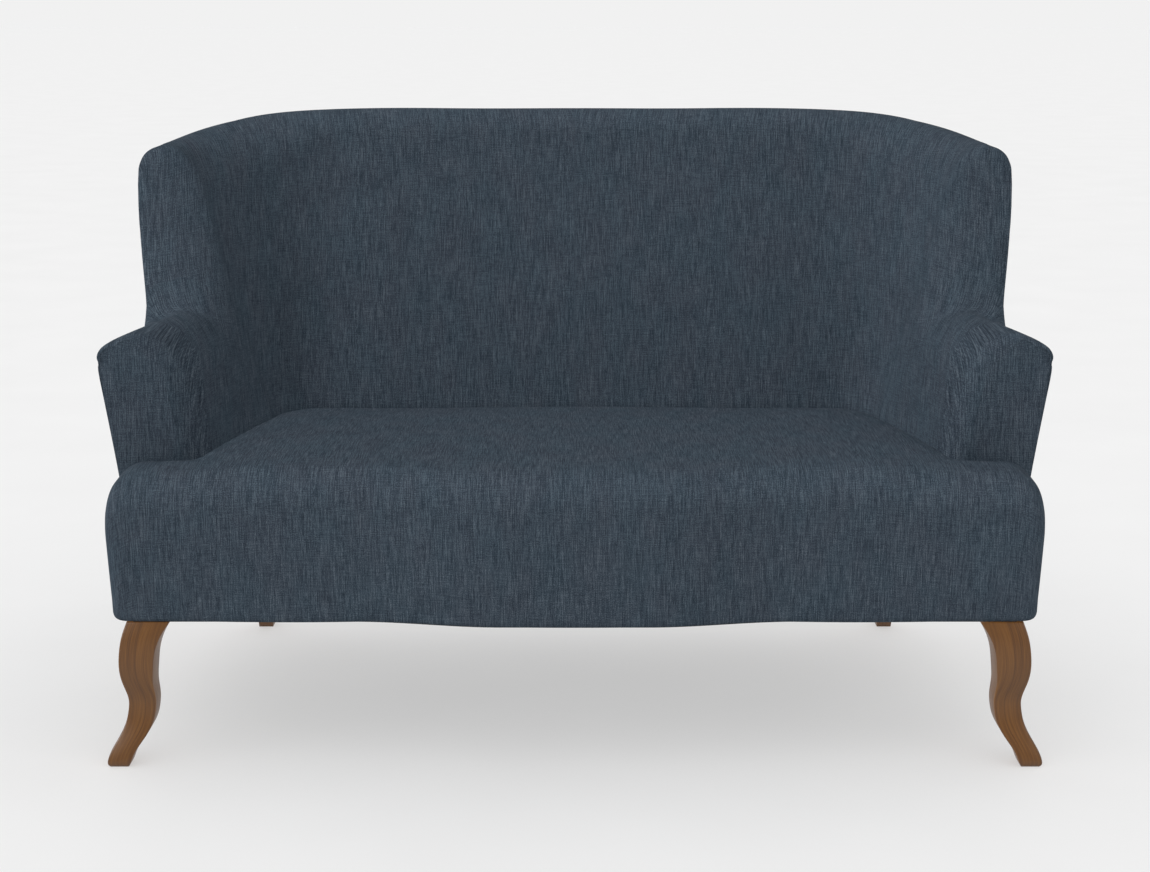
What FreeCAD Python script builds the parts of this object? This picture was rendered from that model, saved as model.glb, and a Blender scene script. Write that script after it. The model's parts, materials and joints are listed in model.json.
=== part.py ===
import FreeCAD, Part
import math
import os

from FreeCAD import Placement, Rotation, Vector

os.makedirs("parts", exist_ok=True)
doc = FreeCAD.newDocument("high_back_settee")

# Driving sizes, in millimetres and degrees
SIZES = (
    ("leg_height", 218),
    ("rail_height", 70),
    ("rail_thickness", 28),
    ("centre_rail_drop", 10),
    ("seat_crown_height", 457),
    ("seat_back_height", 443),
    ("seat_front_half", 690),
    ("seat_end_run", 290),
    ("seat_end_fall", 10),
    ("nose_bow", 29),
    ("bow_start", 110),
    ("bow_end", 330),
    ("nose_inset", 23),
    ("nose_roll", 52),
    ("seat_corner", 34),
    ("front_padding", 20),
    ("arm_setback", 150),
    ("seat_depth", 415),
    ("seat_overhang", 13),
    ("arm_base_thickness", 102),
    ("wing_base_thickness", 165),
    ("corner_side", 112),
    ("corner_back", 95),
    ("back_base_thickness", 135),
    ("arm_top_height", 636),
    ("arm_top_fall", 15),
    ("crest_height", 943),
    ("crest_end_drop", 74),
    ("crest_end_reach", 7),
    ("crest_fall", 4),
    ("wing_rise_ahead", 102),
    ("wing_rise_depth", 118),
    ("wing_blend", 22),
    ("arm_lean", 11),
    ("wing_lean", 15),
    ("back_lean", 13.5),
    ("arm_top_thickness", 110.5),
    ("arm_waist_draw", 20),
    ("wing_thickness", 75),
    ("crest_thickness", 93),
    ("arm_roll", 74),
    ("wing_roll", 58),
    ("crest_roll", 44),
    ("arm_outer_roll", 26),
    ("crest_outer_roll", 38),
    ("smallest_roll", 5),
    ("skin", 2),
    ("contact_gap", 0.3),
    ("wall_foam", 38),
    ("top_foam", 38),
    ("panel_board", 3),
    ("board_below_seam", 14),
    ("timber_ease", 2),
    ("facing_thickness", 5),
    ("post_thickness", 30),
    ("top_rail_width", 45),
    ("top_rail_depth", 30),
    ("upright_width", 40),
    ("stuffing_rail_depth", 45),
    ("stuffing_rail_thickness", 22),
    ("web_width", 60),
    ("web_thickness", 1.5),
    ("web_pitch", 128),
    ("web_edge", 20),
    ("cross_web_pitch", 118),
    ("hessian_thickness", 0.8),
    ("dust_sheet_thickness", 1),
    ("front_block", 64),
    ("front_leg_forward", 9),
    ("front_leg_top", 65),
    ("knee_size", 51),
    ("ankle_size", 41),
    ("toe_size", 36),
    ("knee_swell", 12),
    ("toe_kick", 31),
    ("rear_leg_top", 48),
    ("rear_leg_tip", 26),
    ("rear_leg_rake", 84),
    ("rear_leg_splay", 10),
    ("rear_leg_reach", 225),
    ("bolt_diameter", 10),
    ("bolt_in_leg", 60),
    ("bolt_in_rear_leg", 25),
    ("nut_height", 3),
    ("nut_flange", 26),
)

sheet = doc.addObject("Spreadsheet::Sheet", "Sizes")
for row, (alias, value) in enumerate(SIZES, start=1):
    sheet.set("A%d" % row, alias)
    sheet.set("B%d" % row, str(value))
    sheet.setAlias("B%d" % row, alias)
doc.recompute()


def size(alias):
    return float(sheet.get(alias))


# Heights
leg_height = size("leg_height")
rail_bottom = leg_height + size("dust_sheet_thickness")
rail_top = rail_bottom + size("rail_height")
rail_thickness = size("rail_thickness")
touch = size("contact_gap")
skin = size("skin")
web_thickness = size("web_thickness")
web_top = rail_top + 2 * web_thickness + touch
hessian_bottom = web_top + touch
seat_floor = hessian_bottom + size("hessian_thickness") + touch
seat_line = size("seat_back_height")
tuck_line = seat_floor + 6

# Plan, measured back from the line of the seat's front corners
nose_forward = size("nose_bow") - size("nose_inset")
wall_front = size("arm_setback") + size("facing_thickness")
back_face = size("arm_setback") + size("seat_depth")
back_base = back_face + size("back_base_thickness")
wall_base_half = size("seat_front_half") - size("seat_overhang")
inner_half_front = wall_base_half - size("arm_base_thickness")
inner_half_rear = wall_base_half - size("wing_base_thickness")
pivot_x = inner_half_rear - size("corner_side")
pivot_y = back_face - size("corner_back")
wing_rise_start = pivot_y - size("wing_rise_ahead")


def top_flare(slope, top, thickness, base_thickness):
    """How far a wall's outer face leans out, so that its top has the thickness it should."""
    leaning = math.tan(math.radians(size(slope))) * (size(top) - seat_line)
    return leaning + size(thickness) - size(base_thickness)


arm_flare = top_flare("arm_lean", "arm_top_height", "arm_top_thickness", "arm_base_thickness")
waist_flare = arm_flare - size("arm_waist_draw")
wing_flare = top_flare("wing_lean", "crest_height", "wing_thickness", "wing_base_thickness")
back_overhang = top_flare("back_lean", "crest_height", "crest_thickness",
                          "back_base_thickness")
middle = (back_base + back_overhang - nose_forward) / 2

# Layers of the walls, from the cover inwards
pad_line = skin + touch
panel_line = skin + touch
frame_line = panel_line + size("panel_board") + touch
timber_ease = size("timber_ease")
void_line = pad_line + size("wall_foam") + touch
web_line = void_line + web_thickness + touch
void_top = pad_line + size("top_foam") + touch

# Shapes that no single size gives
INNER_CORNER_POWER = 2.6
OUTER_CORNER_POWER = 3.0
CREST_POWER = 6.4
WING_POWER = 2.4
WING_ROLL_STRETCH = 2.3
FACE_SHARES = (0, 0.5, 0.8, 1)
CORNER_STATIONS = (1, 1.12, 1.3, 1.5, 1.7, 1.85, 2)
LEG_SECTIONS = 30
FLAT_WITHIN = 1e-8

LEFT_OR_RIGHT = (("left", -1), ("right", 1))
parts = []


def mix(first, second, share):
    return first + (second - first) * share


def ease(start, end, value):
    share = min(max((value - start) / (end - start), 0.0), 1.0)
    return share * share * (3 - 2 * share)


def place(x, depth, height):
    """A point from its distance behind the front corners."""
    return Vector(x, depth - middle, height)


def keep(feature, label, placement=None):
    feature.Label = label
    if placement is not None:
        feature.Placement = placement
    parts.append(feature)
    return feature


def keep_shape(shape, label):
    feature = doc.addObject("Part::Feature", label)
    feature.Shape = shape
    return keep(feature, label, Placement())


def mirrored(shape):
    return shape.mirror(Vector(0, 0, 0), Vector(1, 0, 0))


def keep_pair(shape, name):
    """The shape is the one at the right, +X."""
    keep_shape(shape, name + "_right")
    keep_shape(mirrored(shape), name + "_left")


# The wall is one form that runs from arm to back to arm. Stations count along it: 0 is the arm's
# front, 1 the start of the corner, 2 its end, 3 the middle of the back, and 6 the other arm's front.
def corner_curve(angle, side, back, power):
    across = abs(math.cos(angle)) / side
    along = abs(math.sin(angle)) / back
    return (across ** power + along ** power) ** (-1 / power)


def corner_reach(station, side, back, power):
    """How far out a corner stands, when its curve is taken as chords between its stations."""
    index = 1
    while index < len(CORNER_STATIONS) - 1 and station > CORNER_STATIONS[index]:
        index += 1
    first, angle, last = [math.radians(90 * (turn - 1)) for turn in
                          (CORNER_STATIONS[index - 1], station, CORNER_STATIONS[index])]
    near = corner_curve(first, side, back, power)
    far = corner_curve(last, side, back, power)
    return (near * far * math.sin(last - first)
            / (near * math.sin(angle - first) + far * math.sin(last - angle)))


def rib(station):
    """The foot of a wall section, its direction, and how far out its two faces stand."""
    if station <= 1:
        foot = (pivot_x, mix(wall_front, pivot_y, station))
        inner_half = mix(inner_half_front, inner_half_rear, station)
        return foot, 0.0, inner_half - pivot_x, wall_base_half - pivot_x
    if station <= 2:
        angle = math.radians(90 * (station - 1))
        inner = corner_reach(station, size("corner_side"), size("corner_back"),
                             INNER_CORNER_POWER)
        outer = corner_reach(station, wall_base_half - pivot_x, back_base - pivot_y,
                             OUTER_CORNER_POWER)
        return (pivot_x, pivot_y), angle, inner, outer
    foot = (pivot_x * (3 - station), pivot_y)
    return foot, math.pi / 2, size("corner_back"), back_base - pivot_y


def half_station(station):
    return station if station <= 3 else 6 - station


def at(station, reach, height):
    """The point of a wall section that lies at a reach and a height."""
    foot, angle, inner, outer = rib(half_station(station))
    side = 1 if station <= 3 else -1
    return place(side * (foot[0] + reach * math.cos(angle)), foot[1] + reach * math.sin(angle),
                 height)


def lean(station):
    wing = mix(size("arm_lean"), size("wing_lean"), ease(0.3, 1, station))
    return math.radians(mix(wing, size("back_lean"), ease(1.2, 2, station)))


def flare(station):
    arm = mix(arm_flare, waist_flare, ease(0, 0.65, station))
    wing = mix(arm, wing_flare, ease(0.86, 1.05, station))
    return mix(wing, back_overhang, ease(1.0, 1.9, station))


def belly(station):
    """The share of the flare that the outer face has at half its height."""
    wing = mix(0.42, 0.08, ease(0.2, 0.9, station))
    return mix(wing, 0.33, ease(1.2, 2, station))


def crest_at(x):
    end_x = wall_base_half + arm_flare + size("crest_end_reach")
    return size("crest_height") - size("crest_end_drop") * (abs(x) / end_x) ** CREST_POWER


def wall_top(station):
    foot, angle, inner, outer = rib(station)
    reach = outer + flare(station) - size("crest_outer_roll")
    crest = crest_at(foot[0] + reach * math.cos(angle))
    if station >= 2:
        return crest
    depth = foot[1] + reach * math.sin(angle)
    rise = max((depth - wing_rise_start) / size("wing_rise_depth"), 0.0)
    arm = size("arm_top_height")
    wing = arm + (crest - arm) * rise ** WING_POWER
    blend = size("wing_blend")
    if wing > crest + 10 * blend:
        return crest
    return crest - blend * math.log(1 + math.exp((crest - wing) / blend))


def face_arc(station):
    """The outer face's arc: its foot, middle and seam with the inside cover."""
    foot, angle, inner, outer = rib(station)
    top = wall_top(station)
    fall = mix(size("arm_top_fall"), size("crest_fall"), ease(0.6, 1, station))
    roll = mix(size("arm_outer_roll"), size("crest_outer_roll"), ease(0.4, 1, station))
    spread = flare(station)
    height = top - fall - roll - rail_bottom
    tilt = math.atan(spread / height * (3 - 4 * belly(station)))
    seam = top - fall - roll * (1 + math.sin(tilt))
    foot_point = (outer, rail_bottom)
    middle_point = (outer + belly(station) * spread, (rail_bottom + seam) / 2)
    return foot_point, middle_point, (outer + spread, seam), tilt, roll


def face_nodes(station):
    """Corners of the outer face, which is an arc taken as a few flat stretches."""
    first, second, third = face_arc(half_station(station))[:3]
    arc = Part.Circle(Vector(first[0], first[1], 0), Vector(second[0], second[1], 0),
                      Vector(third[0], third[1], 0))
    heights = [mix(first[1], third[1], share) for share in FACE_SHARES]
    return [(arc.Center.x - math.sqrt(arc.Radius ** 2 - (height - arc.Center.y) ** 2), height)
            for height in heights]


def outer_face(station, height):
    """How far out the outer face stands at a height."""
    nodes = face_nodes(station)
    index = 0
    while index < len(nodes) - 2 and height > nodes[index + 1][1]:
        index += 1
    low, high = nodes[index], nodes[index + 1]
    return mix(low[0], high[0], (height - low[1]) / (high[1] - low[1]))


def inner_face(station, height, inset):
    """How far out the inner face stands at a height, when it is cut back by an inset."""
    foot, angle, inner, outer = rib(half_station(station))
    slope = lean(half_station(station))
    leaning = inner + math.tan(slope) * (height - seat_line) + inset / math.cos(slope)
    return max(leaning, inner + inset)


def turn_points(centre, radii, first, last, steps):
    """Points along a round edge of a section."""
    turns = [mix(first, last, step / steps) for step in range(steps + 1)]
    return [(centre[0] + radii[0] * math.cos(turn), centre[1] + radii[1] * math.sin(turn))
            for turn in turns]


def wrap(station, inset, top_inset, low):
    """The wall's inner face, its roll, its top and its outer roll, as points of a section."""
    half = half_station(station)
    foot, angle, inner, outer = rib(half)
    slope = lean(half)
    knee = seat_line + inset * (1 - 1 / math.cos(slope)) / math.tan(slope)
    width = mix(mix(size("arm_roll"), size("wing_roll"), ease(0.5, 1, half)),
                size("crest_roll"), ease(1.5, 2, half))
    width = max(width - inset, size("smallest_roll"))
    tall = mix(mix(1, WING_ROLL_STRETCH, ease(0.5, 1, half)), 1.2, ease(1.2, 2, half))
    roll_slope = math.atan(tall * math.tan(slope))
    top = wall_top(half) - top_inset
    centre_height = top - width * tall
    centre = (inner_face(half, centre_height, inset) + width / math.cos(roll_slope),
              centre_height)
    seam, tilt, outer_roll = face_arc(half)[2:]
    far = (seam[0] - outer_roll * math.cos(tilt), seam[1] + outer_roll * math.sin(tilt))
    far_roll = max(outer_roll - top_inset, size("smallest_roll"))
    return ([(inner + inset, low), (inner + inset, knee)]
            + turn_points(centre, (width, width * tall), math.pi - roll_slope, math.pi / 2, 5)
            + turn_points(far, (far_roll, far_roll), math.pi / 2, -tilt, 3))


def outer_points(station, low, high, inset):
    """Points up the outer face, through its inner corners."""
    corners = [(reach - inset, height) for reach, height in face_nodes(station)[1:-1]]
    return ([(outer_face(station, low) - inset, low)] + corners
            + [(outer_face(station, high) - inset, high)])


def outline_face(points):
    return Part.Face(Part.makePolygon(points + points[:1]))


def facets(first, second, third, fourth):
    """One flat face where four points allow it, or else two that meet on the short diagonal."""
    across = (second - first).cross(third - first)
    if abs(across.dot(fourth - first)) < FLAT_WITHIN * across.Length:
        return [outline_face([first, second, third, fourth])]
    if first.distanceToPoint(third) < second.distanceToPoint(fourth):
        return [outline_face([first, second, third]), outline_face([first, third, fourth])]
    return [outline_face([first, second, fourth]), outline_face([second, third, fourth])]


def loft(stations, path_at):
    """A solid through wall sections, in flat facets, so that the wall's layers nest."""
    sections = [[at(station, reach, height) for reach, height in path_at(station)]
                for station in stations]
    return shell_of(sections)


def shell_of(sections):
    faces = [outline_face(sections[0]), outline_face(sections[-1])]
    for near, far in zip(sections, sections[1:]):
        for index in range(len(near)):
            faces += facets(near[index - 1], near[index], far[index], far[index - 1])
    return Part.makeSolid(Part.makeShell(faces))


def between(first, last):
    """Wall stations from one to another, close together where the form turns."""
    turns = (0.3, 0.6, 0.76, 0.86, 0.94, 1.02, 1.12, 1.3, 1.5, 1.7, 1.85, 2, 3)
    full = turns + tuple(6 - turn for turn in reversed(turns[:-1]))
    inside = [turn for turn in full if first + 0.02 < turn < last - 0.02]
    return [first] + inside + [last]


# Where the pieces of the wall meet
ARM_SEAM = 0.86
BACK_SEAM = 1.5
PAD_JOINT = 1.85
POST_FROM = 1.45
POST_TO = 1.55


# Covers of the walls
def inside_cover(first, last):
    def path(station):
        outside = wrap(station, 0, 0, tuck_line)
        return outside + wrap(station, skin, skin, tuck_line)[::-1]
    return loft(between(first, last), path)


def outside_layer(first, last, near, far, low, below_seam):
    def path(station):
        seam = face_arc(half_station(station))[2][1] - below_seam
        return (outer_points(station, low, seam, near)
                + outer_points(station, low, seam, far)[::-1])
    return loft(between(first, last), path)


keep_pair(inside_cover(0, ARM_SEAM), "inside_arm_cover")
keep_shape(inside_cover(ARM_SEAM, 6 - ARM_SEAM), "inside_back_cover")
keep_pair(outside_layer(0, BACK_SEAM, 0, skin, rail_bottom, touch), "outside_arm_cover")
keep_shape(outside_layer(BACK_SEAM, 6 - BACK_SEAM, 0, skin, rail_bottom, touch),
           "outside_back_cover")

# Boards behind the outside covers
board_end = panel_line + size("panel_board")
board_fall = size("board_below_seam")
keep_pair(outside_layer(0, BACK_SEAM, panel_line, board_end, rail_bottom, board_fall),
          "outside_arm_board")
keep_shape(outside_layer(BACK_SEAM, 6 - BACK_SEAM, panel_line, board_end, rail_bottom,
                         board_fall), "outside_back_board")


# Foam on the walls
def wall_pad(first, last):
    def path(station):
        outside = wrap(station, pad_line, pad_line, tuck_line)
        inside = wrap(station, void_line - touch, void_top - touch, tuck_line)
        return outside + inside[::-1]
    return loft(between(first, last), path)


keep_pair(wall_pad(0, ARM_SEAM), "arm_pad")
keep_pair(wall_pad(ARM_SEAM, PAD_JOINT), "wing_pad")
keep_shape(wall_pad(PAD_JOINT, 6 - PAD_JOINT), "back_pad")


# Padded facings on the fronts of the arms
def arm_facing():
    seam = face_arc(0)[2][1]
    outline = wrap(0, 0, 0, rail_bottom) + outer_points(0, rail_bottom, seam, 0)[-2::-1]
    plate = outline_face([at(0, reach, height) for reach, height in outline])
    plate = plate.extrude(Vector(0, -size("facing_thickness"), 0))
    rail_side = wall_base_half - frame_line + touch
    slot = Part.makeBox(rail_side, 4 * size("facing_thickness"), rail_top + touch)
    slot.translate(place(0, wall_front - 2 * size("facing_thickness"), 0))
    return plate.cut(slot)


keep_pair(arm_facing(), "arm_facing")


# Line of the seat's front, with its serpentine bow
BOW_TURNS = [mix(size("bow_start"), size("bow_end"), share) for share in (0, 0.25, 0.5, 0.75, 1)]


def front_line(x):
    return size("nose_inset") - size("nose_bow") * (1 - ease(BOW_TURNS[0], BOW_TURNS[-1], abs(x)))


def bow_points(half_width, inset, height):
    """Points along the front line, from left to right, where its bow starts, turns and ends."""
    turns = [x for x in BOW_TURNS if x < half_width] + [half_width]
    places = [-x for x in reversed(turns)] + turns
    return [place(x, front_line(x) + inset, height) for x in places]


def bowed_prism(half_width, near, back, low, high):
    """A prism behind the bowed front line, whose back is a depth, or a second line if a pair."""
    front = bow_points(half_width, near, low)
    if isinstance(back, tuple):
        rear = bow_points(half_width, near + back[0], low)[::-1]
    else:
        rear = [place(half_width, back, low), place(-half_width, back, low)]
    outline = Part.makePolygon(front + rear + front[:1])
    return Part.Face(outline).extrude(Vector(0, 0, high - low))


# Timber seat frame
rail_line = skin + touch + size("front_padding") + touch
block = size("front_block")
side_rail_outer = wall_base_half - frame_line
block_inner = side_rail_outer - block
block_front = size("nose_inset") + rail_line
block_back = block_front + block

keep_shape(bowed_prism(block_inner, rail_line, (rail_thickness,), rail_bottom, rail_top),
           "front_seat_rail")


def box(label, length, width, height, corner):
    """A timber whose three sizes are expressions on the sheet."""
    feature = doc.addObject("Part::Box", label)
    feature.setExpression("Length", length)
    feature.setExpression("Width", width)
    feature.setExpression("Height", height)
    return keep(feature, label, Placement(corner, Rotation()))


RAIL_LINE = "(Sizes.skin + 2 * Sizes.contact_gap + Sizes.front_padding)"
FRAME_LINE = "(Sizes.skin + 2 * Sizes.contact_gap + Sizes.panel_board)"
for side_name, side in LEFT_OR_RIGHT:
    near_x = side * side_rail_outer - (rail_thickness if side > 0 else 0)
    box("side_seat_rail_" + side_name, "Sizes.rail_thickness",
        "Sizes.arm_setback + Sizes.seat_depth - Sizes.corner_back - Sizes.nose_inset"
        " - %s - Sizes.front_block" % RAIL_LINE,
        "Sizes.rail_height", place(near_x, block_back, rail_bottom))
rail_back = back_base - frame_line
box("back_seat_rail", "2 * (Sizes.seat_front_half - Sizes.seat_overhang"
    " - Sizes.wing_base_thickness - Sizes.corner_side)", "Sizes.rail_thickness",
    "Sizes.rail_height", place(-pivot_x, rail_back - rail_thickness, rail_bottom))
centre_front = front_line(0) + rail_line + rail_thickness
box("centre_seat_rail", "Sizes.rail_thickness",
    "Sizes.arm_setback + Sizes.seat_depth + Sizes.back_base_thickness - %s"
    " - Sizes.nose_inset + Sizes.nose_bow - %s - 2 * Sizes.rail_thickness"
    % (FRAME_LINE, RAIL_LINE),
    "Sizes.rail_height - Sizes.centre_rail_drop",
    place(-rail_thickness / 2, centre_front, rail_bottom))


def rail_band(near, far, low, high):
    """A rail that follows the foot of the outer face."""
    def path(station):
        outer = rib(half_station(station))[3]
        return [(outer - far, low), (outer - near, low), (outer - near, high), (outer - far, high)]
    return path


corner_rail = loft(between(1, 2), rail_band(frame_line, frame_line + rail_thickness,
                                            rail_bottom, rail_top))
keep_pair(corner_rail, "corner_seat_rail")

# Corner blocks, which take the leg bolts, and rear posts' feet
bolt_hole = size("bolt_diameter") / 2 + touch
front_bolt = (block_inner + block / 2, block_front + block / 2)
rear_angle = math.radians(45)
rear_bolt = (pivot_x + size("rear_leg_reach") * math.cos(rear_angle),
             pivot_y + size("rear_leg_reach") * math.sin(rear_angle))


def drill(x, depth, low, high, radius):
    return Part.makeCylinder(radius, high - low, place(x, depth, low))


front_corner = Part.makeBox(block, block, rail_top - rail_bottom,
                            place(block_inner, block_front, rail_bottom))
front_corner = front_corner.cut(drill(front_bolt[0], front_bolt[1], rail_bottom, rail_top,
                                      bolt_hole))
block_near = frame_line + rail_thickness + touch + timber_ease


def rear_block_path(station):
    foot, angle, inner, outer = rib(half_station(station))
    near = inner + void_line - touch
    far = outer - block_near
    return [(near, rail_bottom), (far, rail_bottom), (far, hessian_bottom),
            (near, hessian_bottom)]


rear_corner = loft(between(1.15, 1.85), rear_block_path)
rear_corner = rear_corner.cut(drill(rear_bolt[0], rear_bolt[1], rail_bottom, web_top + 5,
                                    bolt_hole))
keep_shape(Part.makeCompound([front_corner, mirrored(front_corner)]), "front_corner_blocks")
keep_shape(Part.makeCompound([rear_corner, mirrored(rear_corner)]), "rear_corner_blocks")


# Arm timbers, whose tops lie below the seam of the covers
post_front = wall_front + touch
post_back = post_front + size("post_thickness")
arm_rail_top = min(face_arc(station)[2][1] for station in (0, 0.3, 0.6)) - timber_ease
arm_rail_low = arm_rail_top - size("top_rail_depth")


def station_at(depth):
    return (depth - wall_front) / (pivot_y - wall_front)


def up_to(path, height):
    """The start of a rising path, up to a height."""
    kept = []
    for (reach, low), (next_reach, high) in zip(path, path[1:]):
        kept.append((reach, low))
        if high >= height:
            return kept + [(mix(reach, next_reach, (height - low) / (high - low)), height)]
    return kept


def arm_front_post():
    inside = up_to(wrap(station_at(post_front), void_line, void_top, rail_top), arm_rail_top)
    outside = outer_points(station_at(post_back), rail_top, arm_rail_top,
                           frame_line + timber_ease)
    outline = [at(station_at(post_front), reach, height) for reach, height in
               inside + outside[::-1]]
    return outline_face(outline).extrude(Vector(0, size("post_thickness"), 0))


keep_pair(arm_front_post(), "arm_front_post")


def arm_rail_path(station):
    low = outer_face(station, arm_rail_low) - frame_line - timber_ease
    high = outer_face(station, arm_rail_top) - frame_line - timber_ease
    width = size("top_rail_width")
    return [(low - width, arm_rail_low), (low, arm_rail_low), (high, arm_rail_top),
            (high - width, arm_rail_top)]


keep_pair(loft(between(station_at(post_back), 1.0), arm_rail_path), "arm_top_rail")

stuffing_low = hessian_bottom
stuffing_top = stuffing_low + size("stuffing_rail_depth")


def stuffing_path(station):
    near = rib(half_station(station))[2] + web_line
    far = near + size("stuffing_rail_thickness")
    return [(near, stuffing_low), (far, stuffing_low), (far, stuffing_top), (near, stuffing_top)]


keep_pair(loft(between(station_at(post_back), 1.25), stuffing_path), "arm_stuffing_rail")
keep_shape(loft(between(1.25, 4.75), stuffing_path), "back_stuffing_rail")


# Wing boards, back posts and the crest rail
def crest_timber_top(station):
    return face_arc(half_station(station))[2][1] - timber_ease


def wing_board_path(station):
    top = crest_timber_top(station)
    turn = face_nodes(station)[2][1]
    if turn < arm_rail_top + 10 or turn > top - 10:
        turn = (arm_rail_top + top) / 2
    outside = [(outer_face(station, height) - frame_line - timber_ease, height)
               for height in (arm_rail_top, turn, top)]
    thickness = size("stuffing_rail_thickness")
    return outside + [(reach - thickness, height) for reach, height in outside[::-1]]


keep_pair(loft(between(0.94, POST_FROM), wing_board_path), "wing_board")


def crest_path(station):
    top = crest_timber_top(station)
    low = top - size("stuffing_rail_depth")
    far = outer_face(station, low) - frame_line - timber_ease
    return [(inner_face(station, low, web_line), low), (far, low), (far, top),
            (inner_face(station, top, web_line), top)]


keep_shape(loft(between(POST_FROM, 6 - POST_FROM), crest_path), "crest_rail")


def raked_post_path(station):
    top = crest_timber_top(station) - size("stuffing_rail_depth") - timber_ease
    outside = outer_points(station, rail_top, top, frame_line + timber_ease)
    return outside + [(reach - rail_thickness, height) for reach, height in outside[::-1]]


keep_pair(loft([POST_FROM, 1.5, POST_TO], raked_post_path), "back_post")
upright_middle = 1.5 * size("web_pitch")
upright_half = size("upright_width") / 2
keep_pair(loft([3 - (upright_middle + upright_half) / pivot_x,
                3 - (upright_middle - upright_half) / pivot_x], raked_post_path), "back_upright")

# Interlaced webbing of the seat
rail_middle = rail_back - rail_thickness / 2


def long_web(x):
    width = size("web_width")
    front = front_line(x) + rail_line + rail_thickness / 4
    return Part.makeBox(width, rail_middle - front, web_thickness,
                        place(x - width / 2, front, rail_top))


web_pairs = int((pivot_x + size("web_edge") - size("web_width") / 2) / size("web_pitch"))
web_places = [index * size("web_pitch") for index in range(-web_pairs, web_pairs + 1)]
keep_shape(Part.makeCompound([long_web(x) for x in web_places]), "seat_webbing_long")


def cross_web(depth, first_over):
    """A strap that passes over one long strap and under the next."""
    end = side_rail_outer - 4
    ramp = size("web_width") / 2 + 6
    rise = web_thickness + touch
    route = [(-end, 0)]
    for index, x in enumerate(web_places):
        level = rise if (index + first_over) % 2 == 0 else -rise
        route.append((x - ramp, level))
        route.append((x + ramp, level))
    route.append((end, 0))
    route.insert(1, (-side_rail_outer + rail_thickness, 0))
    route.insert(-1, (side_rail_outer - rail_thickness, 0))
    lower = [place(x, depth, rail_top + level) for x, level in route]
    upper = [place(x, depth, rail_top + level + web_thickness) for x, level in reversed(route)]
    wire = Part.makePolygon(lower + upper + lower[:1])
    return Part.Face(wire).extrude(Vector(0, size("web_width"), 0))


cross_start = post_back + touch
keep_shape(Part.makeCompound([
    cross_web(cross_start + index * size("cross_web_pitch"), index % 2) for index in range(3)
]), "seat_webbing_cross")


def back_web(x):
    """A strap from the stuffing rail up to the crest rail, in front of both."""
    station = 3 - x / pivot_x
    low = stuffing_top - size("stuffing_rail_depth") / 2
    high = crest_timber_top(station) - size("stuffing_rail_depth") / 3
    near = [at(3, inner_face(3, height, void_line), height) for height in (low, seat_line, high)]
    far = [at(3, inner_face(3, height, void_line + web_thickness), height)
           for height in (high, seat_line, low)]
    strap = Part.Face(Part.makePolygon(near + far + near[:1]))
    strap = strap.extrude(Vector(size("web_width"), 0, 0))
    strap.translate(Vector(x - size("web_width") / 2, 0, 0))
    return strap


keep_shape(Part.makeCompound([back_web(x) for x in web_places[1:-1]]), "back_webbing")


# Seat form: a loft across its width, then cut to the plan between the arms
def seat_edge(x):
    """How far the seat's top has rolled down towards its ends, and its front drawn back."""
    half = size("seat_front_half")
    roll = size("nose_roll")
    corner = size("seat_corner")
    top_turn = max((abs(x) - (half - roll)) / roll, 0.0)
    front_turn = max((abs(x) - (half - corner)) / corner, 0.0)
    drop = roll * (1 - math.sqrt(max(1 - top_turn ** 2, 0.0)))
    draw = corner * (1 - math.sqrt(max(1 - front_turn ** 2, 0.0)))
    fall = size("seat_end_fall") * ease(half - size("seat_end_run"), half - roll, abs(x))
    return drop + fall, draw


def seat_section(x, inset, low):
    half = size("seat_front_half")
    outer_x = min(abs(x) + inset * ease(half - size("nose_roll"), half, abs(x)), half)
    drop, draw = seat_edge(outer_x)
    front = front_line(x) + draw + inset
    top = size("seat_crown_height") - drop - inset
    roll = size("nose_roll")
    turn = math.sqrt(0.5)
    rear = back_face + 60
    crown_start = (front + roll, top - 4)
    crown_middle = (back_face * 0.45, top + 1)
    crown_end = (rear, top - (size("seat_crown_height") - seat_line) - 3)
    nose_low = (front, top - 4 - roll)
    nose_middle = (front + roll * (1 - turn), top - 4 - roll * (1 - turn))
    tucked = (front + 5, rail_bottom + 8)
    corners = [place(x, depth, height) for depth, height in
               (nose_low, nose_middle, crown_start, crown_middle, crown_end)]
    edges = [
        Part.Arc(corners[0], corners[1], corners[2]).toShape(),
        Part.Arc(corners[2], corners[3], corners[4]).toShape(),
        Part.makeLine(corners[4], place(x, rear, low)),
        Part.makeLine(place(x, rear, low), place(x, tucked[0], low)),
        Part.makeLine(place(x, tucked[0], low), place(x, *tucked)),
        Part.makeLine(place(x, *tucked), corners[0]),
    ]
    return Part.Wire(edges)


def seat_stations(inset):
    half = size("seat_front_half") - inset
    turns = [half - size("nose_roll") * (1 - math.sin(math.radians(angle)))
             for angle in (0, 28, 52, 72, 90)]
    flat_end = size("seat_front_half") - size("nose_roll")
    spread = [0] + BOW_TURNS + [mix(BOW_TURNS[-1], flat_end, 0.6)] + turns
    return [-x for x in reversed(spread[1:])] + spread


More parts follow.
